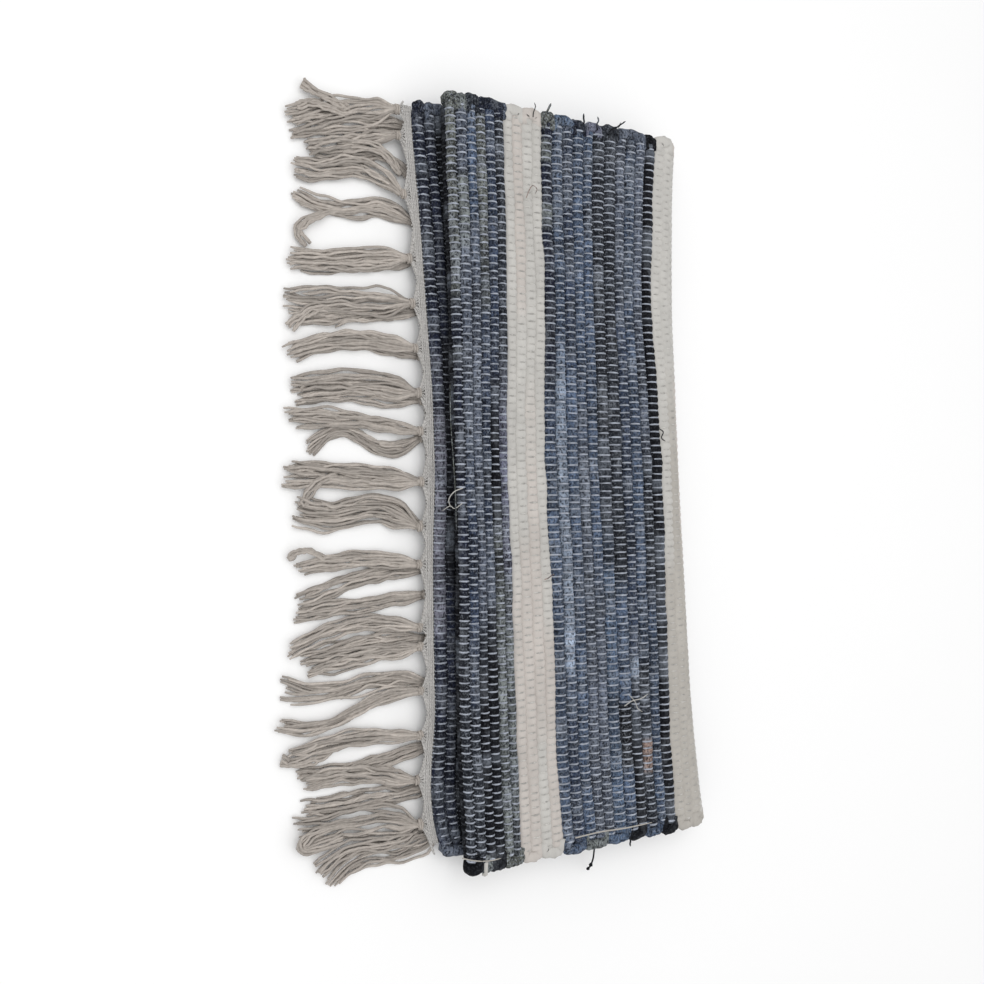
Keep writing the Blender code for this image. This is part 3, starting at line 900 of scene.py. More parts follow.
@functools.lru_cache(maxsize=1)
def dye_grid():
    """Linear colour and fleck for every row at even shares of the width: near, middle and far colours cross over
    at places that wander from row to row, and each is mottled by seeded noise at several scales."""
    rng = np.random.default_rng(SEED + 2)
    names = row_names()
    samples = 801
    share = np.linspace(0.0, 1.0, samples)
    near, middle, far = (
        np.array([linear(SHADES[getattr(row, part)]) for row in names]) for part in Row._fields
    )
    first = 0.3 + 0.12 * rng.uniform(-1, 1, (ROWS, 1))
    second = 0.68 + 0.12 * rng.uniform(-1, 1, (ROWS, 1))
    wander = 0.04 * noise_rows(rng, ROWS, samples, 30)
    to_middle = smoothstep((share[None, :] - first + wander) / 0.1 + 0.5)[..., None]
    to_far = smoothstep((share[None, :] - second + wander) / 0.1 + 0.5)[..., None]
    colour = near[:, None] * (1 - to_middle) + middle[:, None] * to_middle
    colour = colour * (1 - to_far) + far[:, None] * to_far
    pale = np.array([is_cream(row) for row in names])[:, None]
    for patch in PATCHES:
        inside = smoothstep((share - patch.first) / 0.008) * smoothstep((patch.last - share) / 0.008)
        index = OUTER_ROWS - 1 - patch.row
        colour[index] += (linear(SHADES[patch.shade]) - colour[index]) * inside[:, None]
    broad = noise_rows(rng, ROWS, samples, 14)
    fine = noise_rows(rng, ROWS, samples, 70)
    strength = np.where(pale, 0.05, 0.34)
    colour = colour * np.exp(strength * broad + np.where(pale, 0.03, 0.22) * fine)[..., None]
    faded = smoothstep((noise_rows(rng, ROWS, samples, 34) - 0.45) / 0.3) * np.where(pale, 0.0, 0.45)
    colour = colour + (linear((138, 146, 158)) - colour) * faded[..., None] * 0.7
    dark = smoothstep((noise_rows(rng, ROWS, samples, 40) - 0.5) / 0.3) * np.where(pale, 0.0, 0.7)
    cells = noise_rows(rng, ROWS, samples, 200)
    colour = colour * (1.0 - dark[..., None] * 0.7) * np.exp(np.where(pale, 0.015, 0.25) * cells)[..., None]
    near, middle, far = (
        np.array([FLECKS.get(getattr(row, part), PLAIN_FLECK) for row in names])[:, None]
        for part in Row._fields
    )
    fleck = near * (1 - to_middle[..., 0]) + middle * to_middle[..., 0]
    fleck = fleck * (1 - to_far[..., 0]) + far * to_far[..., 0]
    return np.concatenate([colour, fleck[..., None]], axis=-1)


def dye_at(share, row):
    """The dye of whole rows at shares of the width."""
    grid = dye_grid()
    place = np.clip(share, 0.0, 1.0) * (grid.shape[1] - 1)
    low = np.minimum(place.astype(int), grid.shape[1] - 2)
    part = (place - low)[..., None]
    return grid[row, low] * (1 - part) + grid[row, low + 1] * part


def pinch(share, parity):
    """1 under each warp thread that lies over a row of this parity, and 0 halfway between two of them."""
    turn = share * WARP_THREADS / 2 - 0.25 - 0.5 * parity
    return (0.5 + 0.5 * np.cos(2 * math.pi * turn)) ** 2


def weft_rows(rows, share, angles, lumps, swell):
    """Rows of weft as tubes across the rug. A row is a share of its own place in the weave wide. It stands
    3.95 mm high on the face, or 3.8 mm in cream, and 3.75 mm on the back, less the pinch of the threads that
    cross it, with lumps of seeded noise round and along it."""
    rng = np.random.default_rng(SEED + 3 + int(rows[0]))
    rows = np.asarray(rows)
    row = rows[:, None] + 0.5
    share = share[(share >= ROW_INSET) & (share <= 1.0 - ROW_INSET)]
    share = np.broadcast_to(share[None, :], (rows.size, share.size))
    centre, _, outward = lay(share, row)
    before, _, _ = lay(share, row - 0.5)
    after, _, _ = lay(share, row + 0.5)
    wide = np.linalg.norm(after - before, axis=-1)
    parity = (rows % 2)[:, None]
    over = pinch(share, parity)
    under = pinch(share, 1 - parity)
    samples = share.shape[1]
    body = 1.0 + 0.07 * noise_rows(rng, rows.size, samples, 60)
    body = body + 0.05 * noise_rows(rng, rows.size, samples, 150)
    names = row_names()
    pale = np.array([is_cream(names[index]) for index in rows])[:, None]
    body = np.where(pale, 1.0 + 0.3 * (body - 1.0), body)
    face = swell * (np.where(pale, 3.8, 3.95) - np.where(pale, 1.05, 1.15) * over) * body
    back = swell * (3.75 - 0.9 * under) * body
    rise = np.where(np.cos(angles) >= 0, face[..., None], back[..., None])
    at_fold = ((rows >= UNDER_ROWS) & (rows < UNDER_ROWS + CREAM_ROWS))[:, None]
    filled = np.where(pale, np.where(at_fold, 0.85, 0.66), 0.53)
    width = (wide * filled * (1.0 - 0.05 * over) * (0.96 + 0.5 * (body - 1.0)))[..., None]
    sides = len(angles)
    relief = np.stack([noise_rows(rng, rows.size, samples, 110) for _ in range(sides)], axis=-1)
    slow = np.stack([noise_rows(rng, rows.size, samples, 24) for _ in range(sides)], axis=-1)
    lump = 1.0 + lumps * (0.6 * relief + 0.6 * slow) * np.where(pale, 0.5, 1.0)[..., None]
    colours = dye_at(share, np.broadcast_to(rows[:, None], share.shape))[:, :, None, :]
    # painted shade and light: the colour follows the same noise as the lumps, darker in the strip's dents and
    # lighter on its bulges, less on cream
    tone = 1.0 + np.where(pale, 0.02, 0.16)[..., None, None] * np.clip(relief + slow, -1, 1)[..., None]
    tone = np.concatenate([tone, tone, tone, np.ones_like(tone)], axis=-1)
    centre = centre + outward * (0.12 * noise_rows(rng, rows.size, samples, 40))[..., None]
    return tubes(centre, outward, rise * lump, width * lump, angles, colours * tone)


# ---------------------------------------------------------------- the warp


def warp_threads(first_row, last_row, stops, threads, radius, sides, cotton):
    """Warp threads along the cloth: each lies over a row where row + thread is even and under the next. Its
    height is the sign of cos(pi q) times |cos(pi q)| ^ 0.55 times 3.45 mm, or 3.0 mm on cream, where q is the
    distance from a row it crosses over. Threads in the gap at the left fold, and on the row before the upper
    end's last, are darkened with painted shade, the gap's shadow painted onto them."""
    rng = np.random.default_rng(SEED + 40 + int(first_row))
    pairs = np.arange(first_row // 2 - 1, last_row // 2 + 2)
    q = (pairs[:, None] * 2 + np.asarray(stops)[None, :]).ravel()
    count = threads.size
    row = q[None, :] + 0.5 + (threads % 2)[:, None]
    row = np.clip(row, first_row, last_row)
    keep = (row.max(axis=0) > first_row) & (row.min(axis=0) < last_row)
    edge = np.flatnonzero(keep)
    low, high = max(edge[0] - 1, 0), min(edge[-1] + 2, row.shape[1])
    row = row[:, low:high]
    row = row + np.linspace(0, 1e-4, row.shape[1])[None, :]
    over = np.cos(math.pi * (row - 0.5 - (threads % 2)[:, None]))
    names = row_names()
    index = np.clip(row.astype(int), 0, ROWS - 1)
    pale = np.array([is_cream(name) for name in names], dtype=float)[index]
    height = np.sign(over) * np.abs(over) ** 0.55 * (3.45 - 0.45 * pale)
    share = (threads[:, None] + 0.5) / WARP_THREADS
    drift = noise_rows(rng, count, row.shape[1], max(8, row.shape[1] // 12)) * 0.0005
    block = np.arange(row.shape[1]) // len(stops)
    jitter = rng.uniform(-0.0006, 0.0006, (count, block.max() + 1))[:, block]
    share = share + drift + jitter + rng.uniform(-0.00012, 0.00012, row.shape)
    centre, _, outward = lay(share, row)
    path = centre + outward * height[..., None]
    thick = radius * (1.0 + 0.12 * noise_rows(rng, count, row.shape[1], max(8, row.shape[1] // 3)))[..., None]
    edge_thread = (threads < 4) | (threads > WARP_THREADS - 5)
    thick = thick * np.where(edge_thread, 1.3, 1.0)[:, None, None]
    pale = pale[..., None]
    tint = cotton * (1 - pale) + linear(SHADES["cream"]) * pale
    tint = tint * (1.0 + 0.25 * rng.uniform(-1, 1, row.shape + (1,)))
    # painted shade: threads in the gap under the left fold, and across the middle of the row before the upper
    # end's last, are darkened to stand for the shadow there
    in_gap = (index >= OUTER_ROWS) & (index < ROWS - 2)
    middle = np.clip(1.35 - 1.5 * np.abs(2 * share - 1), 0, 1)
    gap_shade = np.where(in_gap, 0.12, np.where(index == ROWS - 2, 1 - 0.85 * middle, 1.0))
    tint = tint * gap_shade[..., None]
    angles = angles_round(sides)
    return tubes(path, outward, thick, thick * 1.12, angles, tint[:, :, None, :])


# ---------------------------------------------------------------- selvedges


def dyed(shade):
    """A shade's linear colour with its fleck as the fourth channel."""
    return np.append(linear(SHADES[shade]), FLECKS.get(shade, PLAIN_FLECK))


def selvedge_turns(first, last, side, colours, samples=15, sides=9):
    """Strips that turn at a selvedge, from one row to another in the cloth's own surface: row = middle - reach
    cos a, and the strip stands out by (sin a) ^ 0.4. Each has its own swell, lean, lift and lumps."""
    rng = np.random.default_rng(SEED + (60 if side == "near" else 61) + int(abs(first[0]) * 10))
    count = first.size
    sign = -1.0 if side == "near" else 1.0
    pale = (colours[:, 3] < 0.1)[:, None]
    span = (last - first) * ROW_PITCH
    half = np.clip(np.where(pale[:, 0], 0.5, 0.45) * span, 2.9, np.where(pale[:, 0], 5.4, 4.7))[:, None]
    reach = np.maximum((last - first)[:, None] / 2 + 0.17 - half / ROW_PITCH, 0.08)
    middle = ((first + last) / 2)[:, None]
    angle = np.linspace(-0.3, math.pi + 0.3, samples)[None, :]
    inside = np.clip(angle, 0, math.pi)
    turn = np.sin(inside)
    row = np.clip(middle - reach * np.cos(inside), 0.2, ROWS - 0.2)
    tail = np.maximum(np.maximum(-angle, angle - math.pi), 0.0)
    stand = 9.8 - half + rng.uniform(-1, 1, (count, 1)) * np.where(pale, 0.2, 0.9)
    ripple = 0.5 * noise_rows(rng, count, samples, 4)
    out = (stand + ripple) * turn ** 0.4 - tail * 16.0
    edge = ROW_INSET if side == "near" else 1 - ROW_INSET
    start, along, outward = lay(np.full(row.shape, edge), row)
    lift = rng.uniform(-0.7, 0.8, (count, 1)) * turn
    lean = rng.uniform(-1.0, 1.0, (count, 1)) * turn
    path = start + np.array([0.0, sign, 0.0]) * out[..., None]
    path = path + outward * lift[..., None] + along * lean[..., None]
    angles = angles_round(sides)
    size = 1.0 + 0.08 * rng.uniform(-1, 1, (count, 1, 1))
    phase = rng.uniform(0, 6, (count, 1, 1))
    folds = 1.0 + 0.1 * np.cos(3 * angles[None, None, :] + 5.0 * angle[:, :, None] + phase)
    lump = size * folds * (1.0 + 0.07 * rng.uniform(-1, 1, (count, samples, sides)))
    tone = 1.0 + np.where(pale, 0.03, 0.3)[..., None, None] * rng.uniform(-1, 1, (count, samples, sides, 1))
    tone = np.concatenate([tone, tone, tone, np.ones_like(tone)], axis=-1)
    return tubes(path, outward, 3.9 * lump, half[..., None] * lump, angles, colours[:, None, None, :] * tone)


def selvedge_batches(side):
    """All the turns along one selvedge: the charted ones round the top layer and at the upper end, and pairs of
    rows elsewhere, in the dye of one of the two."""
    rng = np.random.default_rng(SEED + (64 if side == "near" else 65))
    top, end = (NEAR_EDGES, UPPER_END_NEAR) if side == "near" else (FAR_EDGES, UPPER_END_FAR)
    origins = [(top, OUTER_ROWS), (end, ROWS)]
    charted = [
        (origin - edge.last, origin - edge.first, dyed(edge.shade))
        for table, origin in origins
        for edge in table
    ]
    shift = 1 if side == "near" else 0
    pairs = np.concatenate(
        [np.arange(shift, UNDER_ROWS - 1, 2), np.arange(OUTER_ROWS + 2 + shift, ROWS - 4, 2)]
    ).astype(float)
    span = 2.0 + 0.25 * rng.uniform(-1, 1, pairs.size)
    share = np.full(pairs.shape, 0.0 if side == "near" else 1.0)
    chosen = (pairs + rng.integers(0, 2, pairs.size)).astype(int)
    first = np.concatenate([[c[0] for c in charted], pairs])
    last = np.concatenate([[c[1] for c in charted], pairs + span])
    colours = np.concatenate([np.array([c[2] for c in charted]), dye_at(share, chosen)])
    return selvedge_turns(first, last, side, colours)


def smooth_paths(points, samples):
    """Smooth lines through their points: Catmull-Rom, with half the step between neighbours as tangent."""
    points = np.asarray(points, dtype=float)
    before = 2 * points[:, :1] - points[:, 1:2]
    after = 2 * points[:, -1:] - points[:, -2:-1]
    padded = np.concatenate([before, points, after], axis=1)
    t = np.linspace(0.0, points.shape[1] - 1.0, samples)
    i = np.minimum(t.astype(int), points.shape[1] - 2)
    u = (t - i)[None, :, None]
    p0, p1, p2, p3 = (padded[:, i + step] for step in range(4))
    square = 2 * p0 - 5 * p1 + 4 * p2 - p3
    cube = 3 * p1 - p0 - 3 * p2 + p3
    return 0.5 * (2 * p1 + (p2 - p0) * u + square * u**2 + cube * u**3)


def loose_ends():
    """The loose threads: thin tubes through their points, thicker where a small knot is tied: radius times
    1 + 1.6 exp(-((t - place) / 0.035)^2)."""
    samples = 22
    t = np.linspace(0.0, 1.0, samples)
    batches = []
    for length in sorted({len(loose.points) for loose in LOOSE_ENDS}):
        group = [loose for loose in LOOSE_ENDS if len(loose.points) == length]
        path = smooth_paths([loose.points for loose in group], samples)
        radius = np.array([loose.thickness / 2 for loose in group])[:, None]
        knots = np.array([loose.knots for loose in group])[:, None]
        for place in (0.72, 0.93):
            bump = np.exp(-(((t[None, :] - place) / 0.035) ** 2))
            radius = radius * (1 + np.where(knots > 0, 1.6, 0.0) * bump)
        radius = radius * (1.0 - 0.5 * smoothstep((t[None, :] - 0.85) / 0.15) * (knots == 0))
        colours = np.array([dyed(loose.shade) for loose in group])[:, None, None, :]
        five = angles_round(5)
        thick = radius[..., None]
        batches.append(tubes(path, np.array([0.3, 0.2, 1.0]), thick, thick, five, colours))
    return batches


# ---------------------------------------------------------------- headings, knots and fringes


def end_line(which, share):
    """The x and y of the cloth's end at shares of its width."""
    x, y = folded_cloth().ends[which]
    place = np.linspace(0.0, 1.0, STATIONS)
    return np.interp(share, place, x), np.interp(share, place, y)


def end_x_at(which, y):
    """The x of the cloth's end beside a place across the rug."""
    x, ys = folded_cloth().ends[which]
    return np.interp(y, ys, x)


def heading_batches(which, level, cloth_level, cotton):
    """One heading: cords laid beside the last row of weft, with the warp threads over and under them."""
    rng = np.random.default_rng(SEED + (80 if which == "upper" else 81))
    samples = 201
    share = (np.arange(samples - 1) + 0.5) / (samples - 1)
    share = share[(share > HEADING_START) & (share < 1.0 - HEADING_START / 2)]
    samples = share.size
    x, y = end_line(which, share)
    pitch = HEADING_WIDTH / HEADING_CORDS
    angles = angles_round(5)
    paths = []
    for cord in range(HEADING_CORDS):
        weave = 0.22 * np.cos(math.pi * (share * WARP_THREADS - 0.5 + cord))
        wander = 0.25 * noise_rows(rng, 1, samples, 40)[0]
        paths.append(np.stack([x - GAP - pitch * (cord + 0.5) + wander, y, level + weave], axis=-1))
    cords = tubes(np.array(paths), np.array([0.0, 0.0, 1.0]), 0.95, pitch * 0.56, angles, cotton * 0.96)
    threads = np.arange(3, WARP_THREADS - 2)
    thread_share = (threads + 0.5) / WARP_THREADS
    tx, ty = end_line(which, thread_share)
    crossings = pitch * (np.arange(HEADING_CORDS * 2 + 1) / 2.0)
    stops = np.concatenate([[-2.2, -0.9], crossings, [HEADING_WIDTH + 1.0]])
    cord_place = stops / pitch - 0.5
    over = np.cos(math.pi * (cord_place[None, :] - (threads % 2)[:, None]))
    height = level + 1.0 * over
    join = smoothstep((0.6 - stops) / 2.4)[None, :]
    height = height * (1 - join) + cloth_level * join
    path = np.stack(
        [
            tx[:, None] - GAP - stops[None, :],
            ty[:, None] + 0.25 * rng.uniform(-1, 1, (threads.size, stops.size)),
            height,
        ],
        axis=-1,
    )
    square = angles_round(4)
    crossing = tubes(path, np.array([0.0, 0.0, 1.0]), 0.6, 0.68, square, cotton)
    return [cords, crossing]


def tassel_knots(which, tassels):
    """The place of each tassel's knot across the rug, and its x beside the heading."""
    y = np.array([tassel.knot for tassel in tassels], dtype=float)
    x = end_x_at(which, y) - GAP - HEADING_WIDTH - KNOT_ROW_GAP - KNOT_ROW_WIDTH / 2
    return x, y


def gathering_threads(which, tassels, heading_level, knot_level, cotton):
    """Warp threads running from the heading's edge into the nearest knot, eased by smoothstep."""
    rng = np.random.default_rng(SEED + (90 if which == "upper" else 91))
    knot_x, knot_y = tassel_knots(which, tassels)
    threads = np.arange(WARP_THREADS)
    x, y = end_line(which, (threads + 0.5) / WARP_THREADS)
    nearest = np.abs(y[:, None] - knot_y[None, :]).argmin(axis=1)
    t = np.linspace(0.0, 1.0, 7)[None, :]
    ease = smoothstep(t)
    start_x = (x - GAP - HEADING_WIDTH + 0.6)[:, None]
    far_x = knot_x[nearest][:, None]
    start_y = y[:, None]
    aim_y = (knot_y[nearest] + 0.12 * (y - knot_y[nearest]))[:, None]
    sag = np.sin(math.pi * t) * (0.4 + 0.5 * rng.uniform(-1, 1, (WARP_THREADS, 1)))
    path = np.stack(
        [
            start_x + (far_x - start_x) * t ** 1.3,
            start_y + (aim_y - start_y) * ease,
            heading_level + (knot_level - heading_level) * ease + sag,
        ],
        axis=-1,
    )
    square = angles_round(4)
    tint = cotton * (1 + 0.08 * rng.uniform(-1, 1, (WARP_THREADS, 1, 1, 1)))
    colours = np.broadcast_to(tint, (WARP_THREADS, 1, 1, 3))
    return tubes(path, np.array([0.0, 0.0, 1.0]), 0.7, 0.75, square, colours)


def knot_batches(which, tassels, level, cotton):
    """Overhand knots: a fat lump along the tassel's line, ridged by its own yarns, and one yarn wound round."""
    rng = np.random.default_rng(SEED + (100 if which == "upper" else 101))
    x, y = tassel_knots(which, tassels)
    count = len(tassels)
    width = np.array([tassel.width for tassel in tassels], dtype=float)
    size = (0.7 + 0.016 * (width - 11.0))[:, None, None]
    t = np.linspace(0.0, 1.0, 15)
    across = np.repeat(y[:, None], t.size, axis=1)
    spine = np.stack([x[:, None] + 3.6 - 8.0 * t, across, np.full((count, t.size), level)], axis=-1)
    lean = rng.uniform(-0.25, 0.25, (count, 1))
    spine[..., 1] += lean * 8.0 * (t[None, :] - 0.5)
    swell = np.sin(math.pi * np.clip(t, 0.03, 0.97)) ** 0.6
    angles = angles_round(14)
    phase = rng.uniform(0, 6, (count, 1, 1))
    ridges = 1.0 + 0.09 * np.cos(5 * angles[None, None, :] + 2.2 * math.pi * t[None, :, None] + phase)
    body = tubes(
        spine, np.array([0.0, 0.0, 1.0]), 3.1 * size * swell[None, :, None] * ridges,
        3.9 * size * swell[None, :, None] * ridges, angles, cotton * 0.93,
    )
    turn = np.linspace(0, 2 * math.pi * 1.9, 26)[None, :]
    start = rng.uniform(0, 2 * math.pi, (count, 1))
    drift = (turn / turn.max() - 0.5) * 3.4
    wide = 4.0 * size[:, :, 0]
    high = 3.2 * size[:, :, 0]
    coil = np.stack(
        [
            x[:, None] - 0.4 + drift,
            y[:, None] + wide * np.cos(turn + start) - lean * drift,
            level + high * np.sin(turn + start),
        ],
        axis=-1,
    )
    six = angles_round(6)
    wound = tubes(coil, np.array([1.0, 0.0, 0.0]), 1.0, 1.0, six, cotton)
    return [body, wound]


def fringe_strands(which, tassels, settings, knot_level, lie_level, cotton):
    """The strands of each tassel: a line from the knot to the tip, bowed by sin(pi t) and waved by sin(2 pi t),
    on which the strands fan out to the tassel's width, wander on their own, and end unevenly."""
    rng = np.random.default_rng(SEED + (110 if which == "upper" else 111))
    strands = settings.strands_per_tassel
    samples = 28
    clumps = 4
    knot_x, knot_y = tassel_knots(which, tassels)
    count = len(tassels)
    column = {
        name: np.array([getattr(tassel, name) for tassel in tassels], dtype=float)[:, None, None]
        for name in Tassel._fields
    }
    clump = np.minimum(np.arange(strands) * clumps // strands, clumps - 1)
    end = rng.uniform(0.93, 1.0, (count, clumps, 1))[:, clump] * rng.uniform(0.97, 1.03, (count, strands, 1))
    short = rng.uniform(0, 1, (count, strands, 1)) < 0.06
    end = np.where(short, rng.uniform(0.6, 0.85, end.shape), end)
    t = np.linspace(0.0, 1.0, samples)[None, None, :] * end
    start_x = (knot_x - 2.6)[:, None, None]
    start_y = knot_y[:, None, None]
    x = start_x + (column["reach"] - start_x) * t
    sideways = column["bow"] * np.sin(math.pi * t)
    y = start_y + (column["tip"] - start_y) * t + sideways + column["wave"] * np.sin(2 * math.pi * t)
    line = np.stack([x, y], axis=-1)
    tangent = unit(np.gradient(line, axis=2))
    normal = np.stack([-tangent[..., 1], tangent[..., 0]], axis=-1)
    order = (np.arange(strands) + 0.5) / strands * 2 - 1
    order = order[None, :] + rng.uniform(-0.12, 0.12, (count, strands))
    order = order[..., None]
    radius = settings.fringe_thread / MM / 2
    full = column["width"] / 2 - radius
    half = 2.3 + (full - 2.3) * smoothstep(t / TASSEL_TAPER)
    own = noise_rows(rng, count * strands, samples, 4).reshape(count, strands, samples)
    finer = noise_rows(rng, count * strands, samples, 9).reshape(count, strands, samples)
    flare = smoothstep((t - 0.55) / 0.45) * (
        rng.uniform(-1, 1, (count, clumps, 1))[:, clump] + 0.5 * rng.uniform(-1, 1, (count, strands, 1))
    )
    shared = noise_rows(rng, count * clumps, samples, 4).reshape(count, clumps, samples)[:, clump]
    turns = rng.uniform(0.5, 1.1, (count, strands, 1))
    swap = np.sin(2 * math.pi * (t * turns + rng.uniform(0, 1, (count, strands, 1))))
    loose = smoothstep(t / 0.25)
    crimps = rng.uniform(3.6, 5.8, (count, clumps, 1))[:, clump] + rng.uniform(-0.2, 0.2, (count, strands, 1))
    crimp = np.sin(2 * math.pi * (t * crimps + rng.uniform(0, 1, (count, clumps, 1))[:, clump]))
    wander = 1.5 * shared + 1.1 * own + 0.9 * finer + 1.3 * swap + 0.4 * crimp
    aside = order * half + loose * wander + 1.8 * flare
    line = line + normal * aside[..., None]
    level = np.tile(np.array([0.0, 1.0, 0.45, 1.4]), strands)[:strands]
    level = level[rng.permuted(np.tile(np.arange(strands), (count, 1)), axis=1)][..., None]
    fall = smoothstep(t / TASSEL_DROP)
    uneven = noise_rows(rng, count * strands, samples, 7).reshape(t.shape)
    floor = lie_level + radius * 1.55 * level + 0.9 * uneven
    z = (knot_level + 0.8 * (level - 0.7)) * (1 - fall) + floor * fall
    z = np.maximum(z, radius * 0.95)
    path = np.concatenate([line, z[..., None]], axis=-1).reshape(count * strands, samples, 3)
    thick = radius * (1 + 0.1 * noise_rows(rng, count * strands, samples, 12))
    taper = 1.0 - 0.35 * smoothstep((np.linspace(0, 1, samples) - 0.93) / 0.07)
    thick = (thick * taper[None, :])[..., None]
    five = angles_round(5)
    tint = cotton * (1 + 0.2 * rng.uniform(-1, 1, (count * strands, 1, 1, 1)))
    tint = tint * (1 + 0.12 * noise_rows(rng, count * strands, samples, 10))[..., None, None]
    return tubes(path, np.array([0.0, 0.0, 1.0]), thick, thick * 1.08, five, tint)


def stray_bundles(settings, cotton):
    """Bundles of strands that leave their tassel: a smooth line through each one's points, with the strands side
    by side and in two levels on it, each wandering a little."""
    rng = np.random.default_rng(SEED + 120)
    samples = 26
    count = len(STRAYS)
    strands = STRAY_STRANDS
    line = smooth_paths([stray.points for stray in STRAYS], samples)
    tangent = unit(np.gradient(line[..., :2], axis=1))
    normal = np.stack([-tangent[..., 1], tangent[..., 0]], axis=-1)[:, None]
    t = np.linspace(0.0, 1.0, samples)
    width = np.array([stray.width for stray in STRAYS], dtype=float)[:, None, None]
    order = ((np.arange(strands) + 0.5) / strands * 2 - 1)[None, :, None]
    half = (0.45 + 0.55 * smoothstep(t / 0.3) + 0.3 * smoothstep((t - 0.7) / 0.3)) * width / 2
    wander = noise_rows(rng, count * strands, samples, 7).reshape(count, strands, samples)
    finer = noise_rows(rng, count * strands, samples, 14).reshape(count, strands, samples)
    aside = order * half + 1.3 * wander + 0.7 * finer
    path = np.repeat(line[:, None], strands, axis=1)
    path[..., :2] += normal * aside[..., None]
    path[..., 2] += 0.9 * ((np.arange(strands) % 2)[None, :, None] - 0.5) + 0.5 * wander
    path[..., 2] = np.maximum(path[..., 2], settings.fringe_thread / MM / 2)
    path = path.reshape(count * strands, samples, 3)
    radius = settings.fringe_thread / MM / 2
    five = angles_round(5)
    tint = cotton * (1 + 0.16 * rng.uniform(-1, 1, (count * strands, 1, 1, 1)))
    return tubes(path, np.array([0.0, 0.0, 1.0]), radius, radius * 1.08, five, tint)


# ---------------------------------------------------------------- settings


class RUG_PG_Weave(bpy.types.PropertyGroup):
    """Sizes and colours of the woven rug."""

    warp_thread: FloatProperty(
        name="Warp thread", description="Thickness of a warp thread", default=0.0013, min=0.0004, unit="LENGTH"
    )
    fringe_thread: FloatProperty(
        name="Fringe strand", description="Thickness of a fringe strand", default=0.0021, min=0.0005,
        unit="LENGTH",
    )
    strands_per_tassel: IntProperty(
        name="Strands in a tassel", description="How many strands hang from each knot", default=15, min=3,
        max=20,
    )
    swell: FloatProperty(
        name="Strip swell", description="How fat the cloth strips are", default=1.0, min=0.6, max=1.2,
        subtype="FACTOR",
    )
    cotton: FloatVectorProperty(
        name="Cotton", description="Colour of the knots and fringe strands", default=(0.385, 0.35, 0.318),
        min=0.0, max=1.0, subtype="COLOR",
    )
    heading: FloatVectorProperty(
        name="Heading", description="Colour of the cotton headings", default=(0.49, 0.477, 0.462),
        min=0.0, max=1.0, subtype="COLOR",
    )
    thread: FloatVectorProperty(
        name="Thread", description="Colour of the warp threads where they cross the strips",
        default=(0.36, 0.388, 0.45), min=0.0, max=1.0, subtype="COLOR",
    )


class RUG_PG_Stage(bpy.types.PropertyGroup):
    """Floor, light and camera."""

    floor_size: FloatProperty(
        name="Floor size", description="Side of the pale floor", default=6.0, min=1.0, unit="LENGTH"
    )
    floor_colour: FloatVectorProperty(
        name="Floor colour", description="Colour of the floor", default=(0.9, 0.9, 0.9), min=0.0, max=1.0,
        subtype="COLOR",
    )
    sky: FloatProperty(name="Surround", description="Strength of the even light", default=0.84, min=0.0)
    key: FloatProperty(
        name="Key light", description="Power of the large soft light", default=12.0, min=0.0, unit="POWER"
    )


# ---------------------------------------------------------------- operators


class RUG_OT_stage(bpy.types.Operator):
    """Make the floor, the soft light and the camera"""

    bl_idname = "rag_rug.stage"
    bl_label = "Stage"

    def execute(self, context):
        stage = context.scene.rag_rug_stage
        half = stage.floor_size / 2
        mesh = bpy.data.meshes.new("floor")
        corners = [(-half, -half, 0.0), (half, -half, 0.0), (half, half, 0.0), (-half, half, 0.0)]
        mesh.from_pydata(corners, [], [(0, 1, 2, 3)])
        material = bpy.data.materials.new("studio_floor")
        material.use_nodes = True
        tree = material.node_tree
        shader = tree.nodes["Principled BSDF"]
        grain = stretched_noise(tree, 6.0, (1.0, 1.0, 1.0), 2.0)
        low = tuple(c * 0.99 for c in stage.floor_colour) + (1.0,)
        high = tuple(stage.floor_colour) + (1.0,)
        tree.links.new(mix_colour(tree, grain, low, high), shader.inputs["Base Color"])
        shader.inputs["Roughness"].default_value = 0.9
        shader.inputs["Specular IOR Level"].default_value = 0.1
        mesh.materials.append(material)
        floor = bpy.data.objects.new("floor", mesh)
        context.scene.collection.objects.link(floor)

        world = bpy.data.worlds.new("studio")
        world.use_nodes = True
        world.node_tree.nodes["Background"].inputs["Color"].default_value = (1.0, 1.0, 1.0, 1.0)
        world.node_tree.nodes["Background"].inputs["Strength"].default_value = stage.sky
        context.scene.world = world

        for name, place, turn, size, power in (
            ("soft_key", (-0.5, 0.45, 1.7), (-14.0, -17.0, 0.0), 1.6, stage.key),
            ("soft_fill", (1.0, -0.6, 1.4), (22.0, 36.0, 0.0), 1.4, stage.key * 0.2),
        ):
            light = bpy.data.lights.new(name, "AREA")
            light.shape = "SQUARE"
            light.size = size
            light.energy = power
            lamp = bpy.data.objects.new(name, light)
            lamp.location = place
            lamp.rotation_euler = tuple(math.radians(angle) for angle in turn)
            context.scene.collection.objects.link(lamp)

        lens = bpy.data.cameras.new("camera")
        lens.lens = 36.0
        lens.sensor_width = 36.0
        lens.clip_start = 0.01
        camera = bpy.data.objects.new("camera", lens)
        camera.location = CAMERA_PLACE
        camera.rotation_euler = (0.0, math.radians(CAMERA_LEAN), 0.0)
        context.scene.collection.objects.link(camera)
        context.scene.camera = camera
        context.scene.view_settings.view_transform = "Standard"
        return {"FINISHED"}


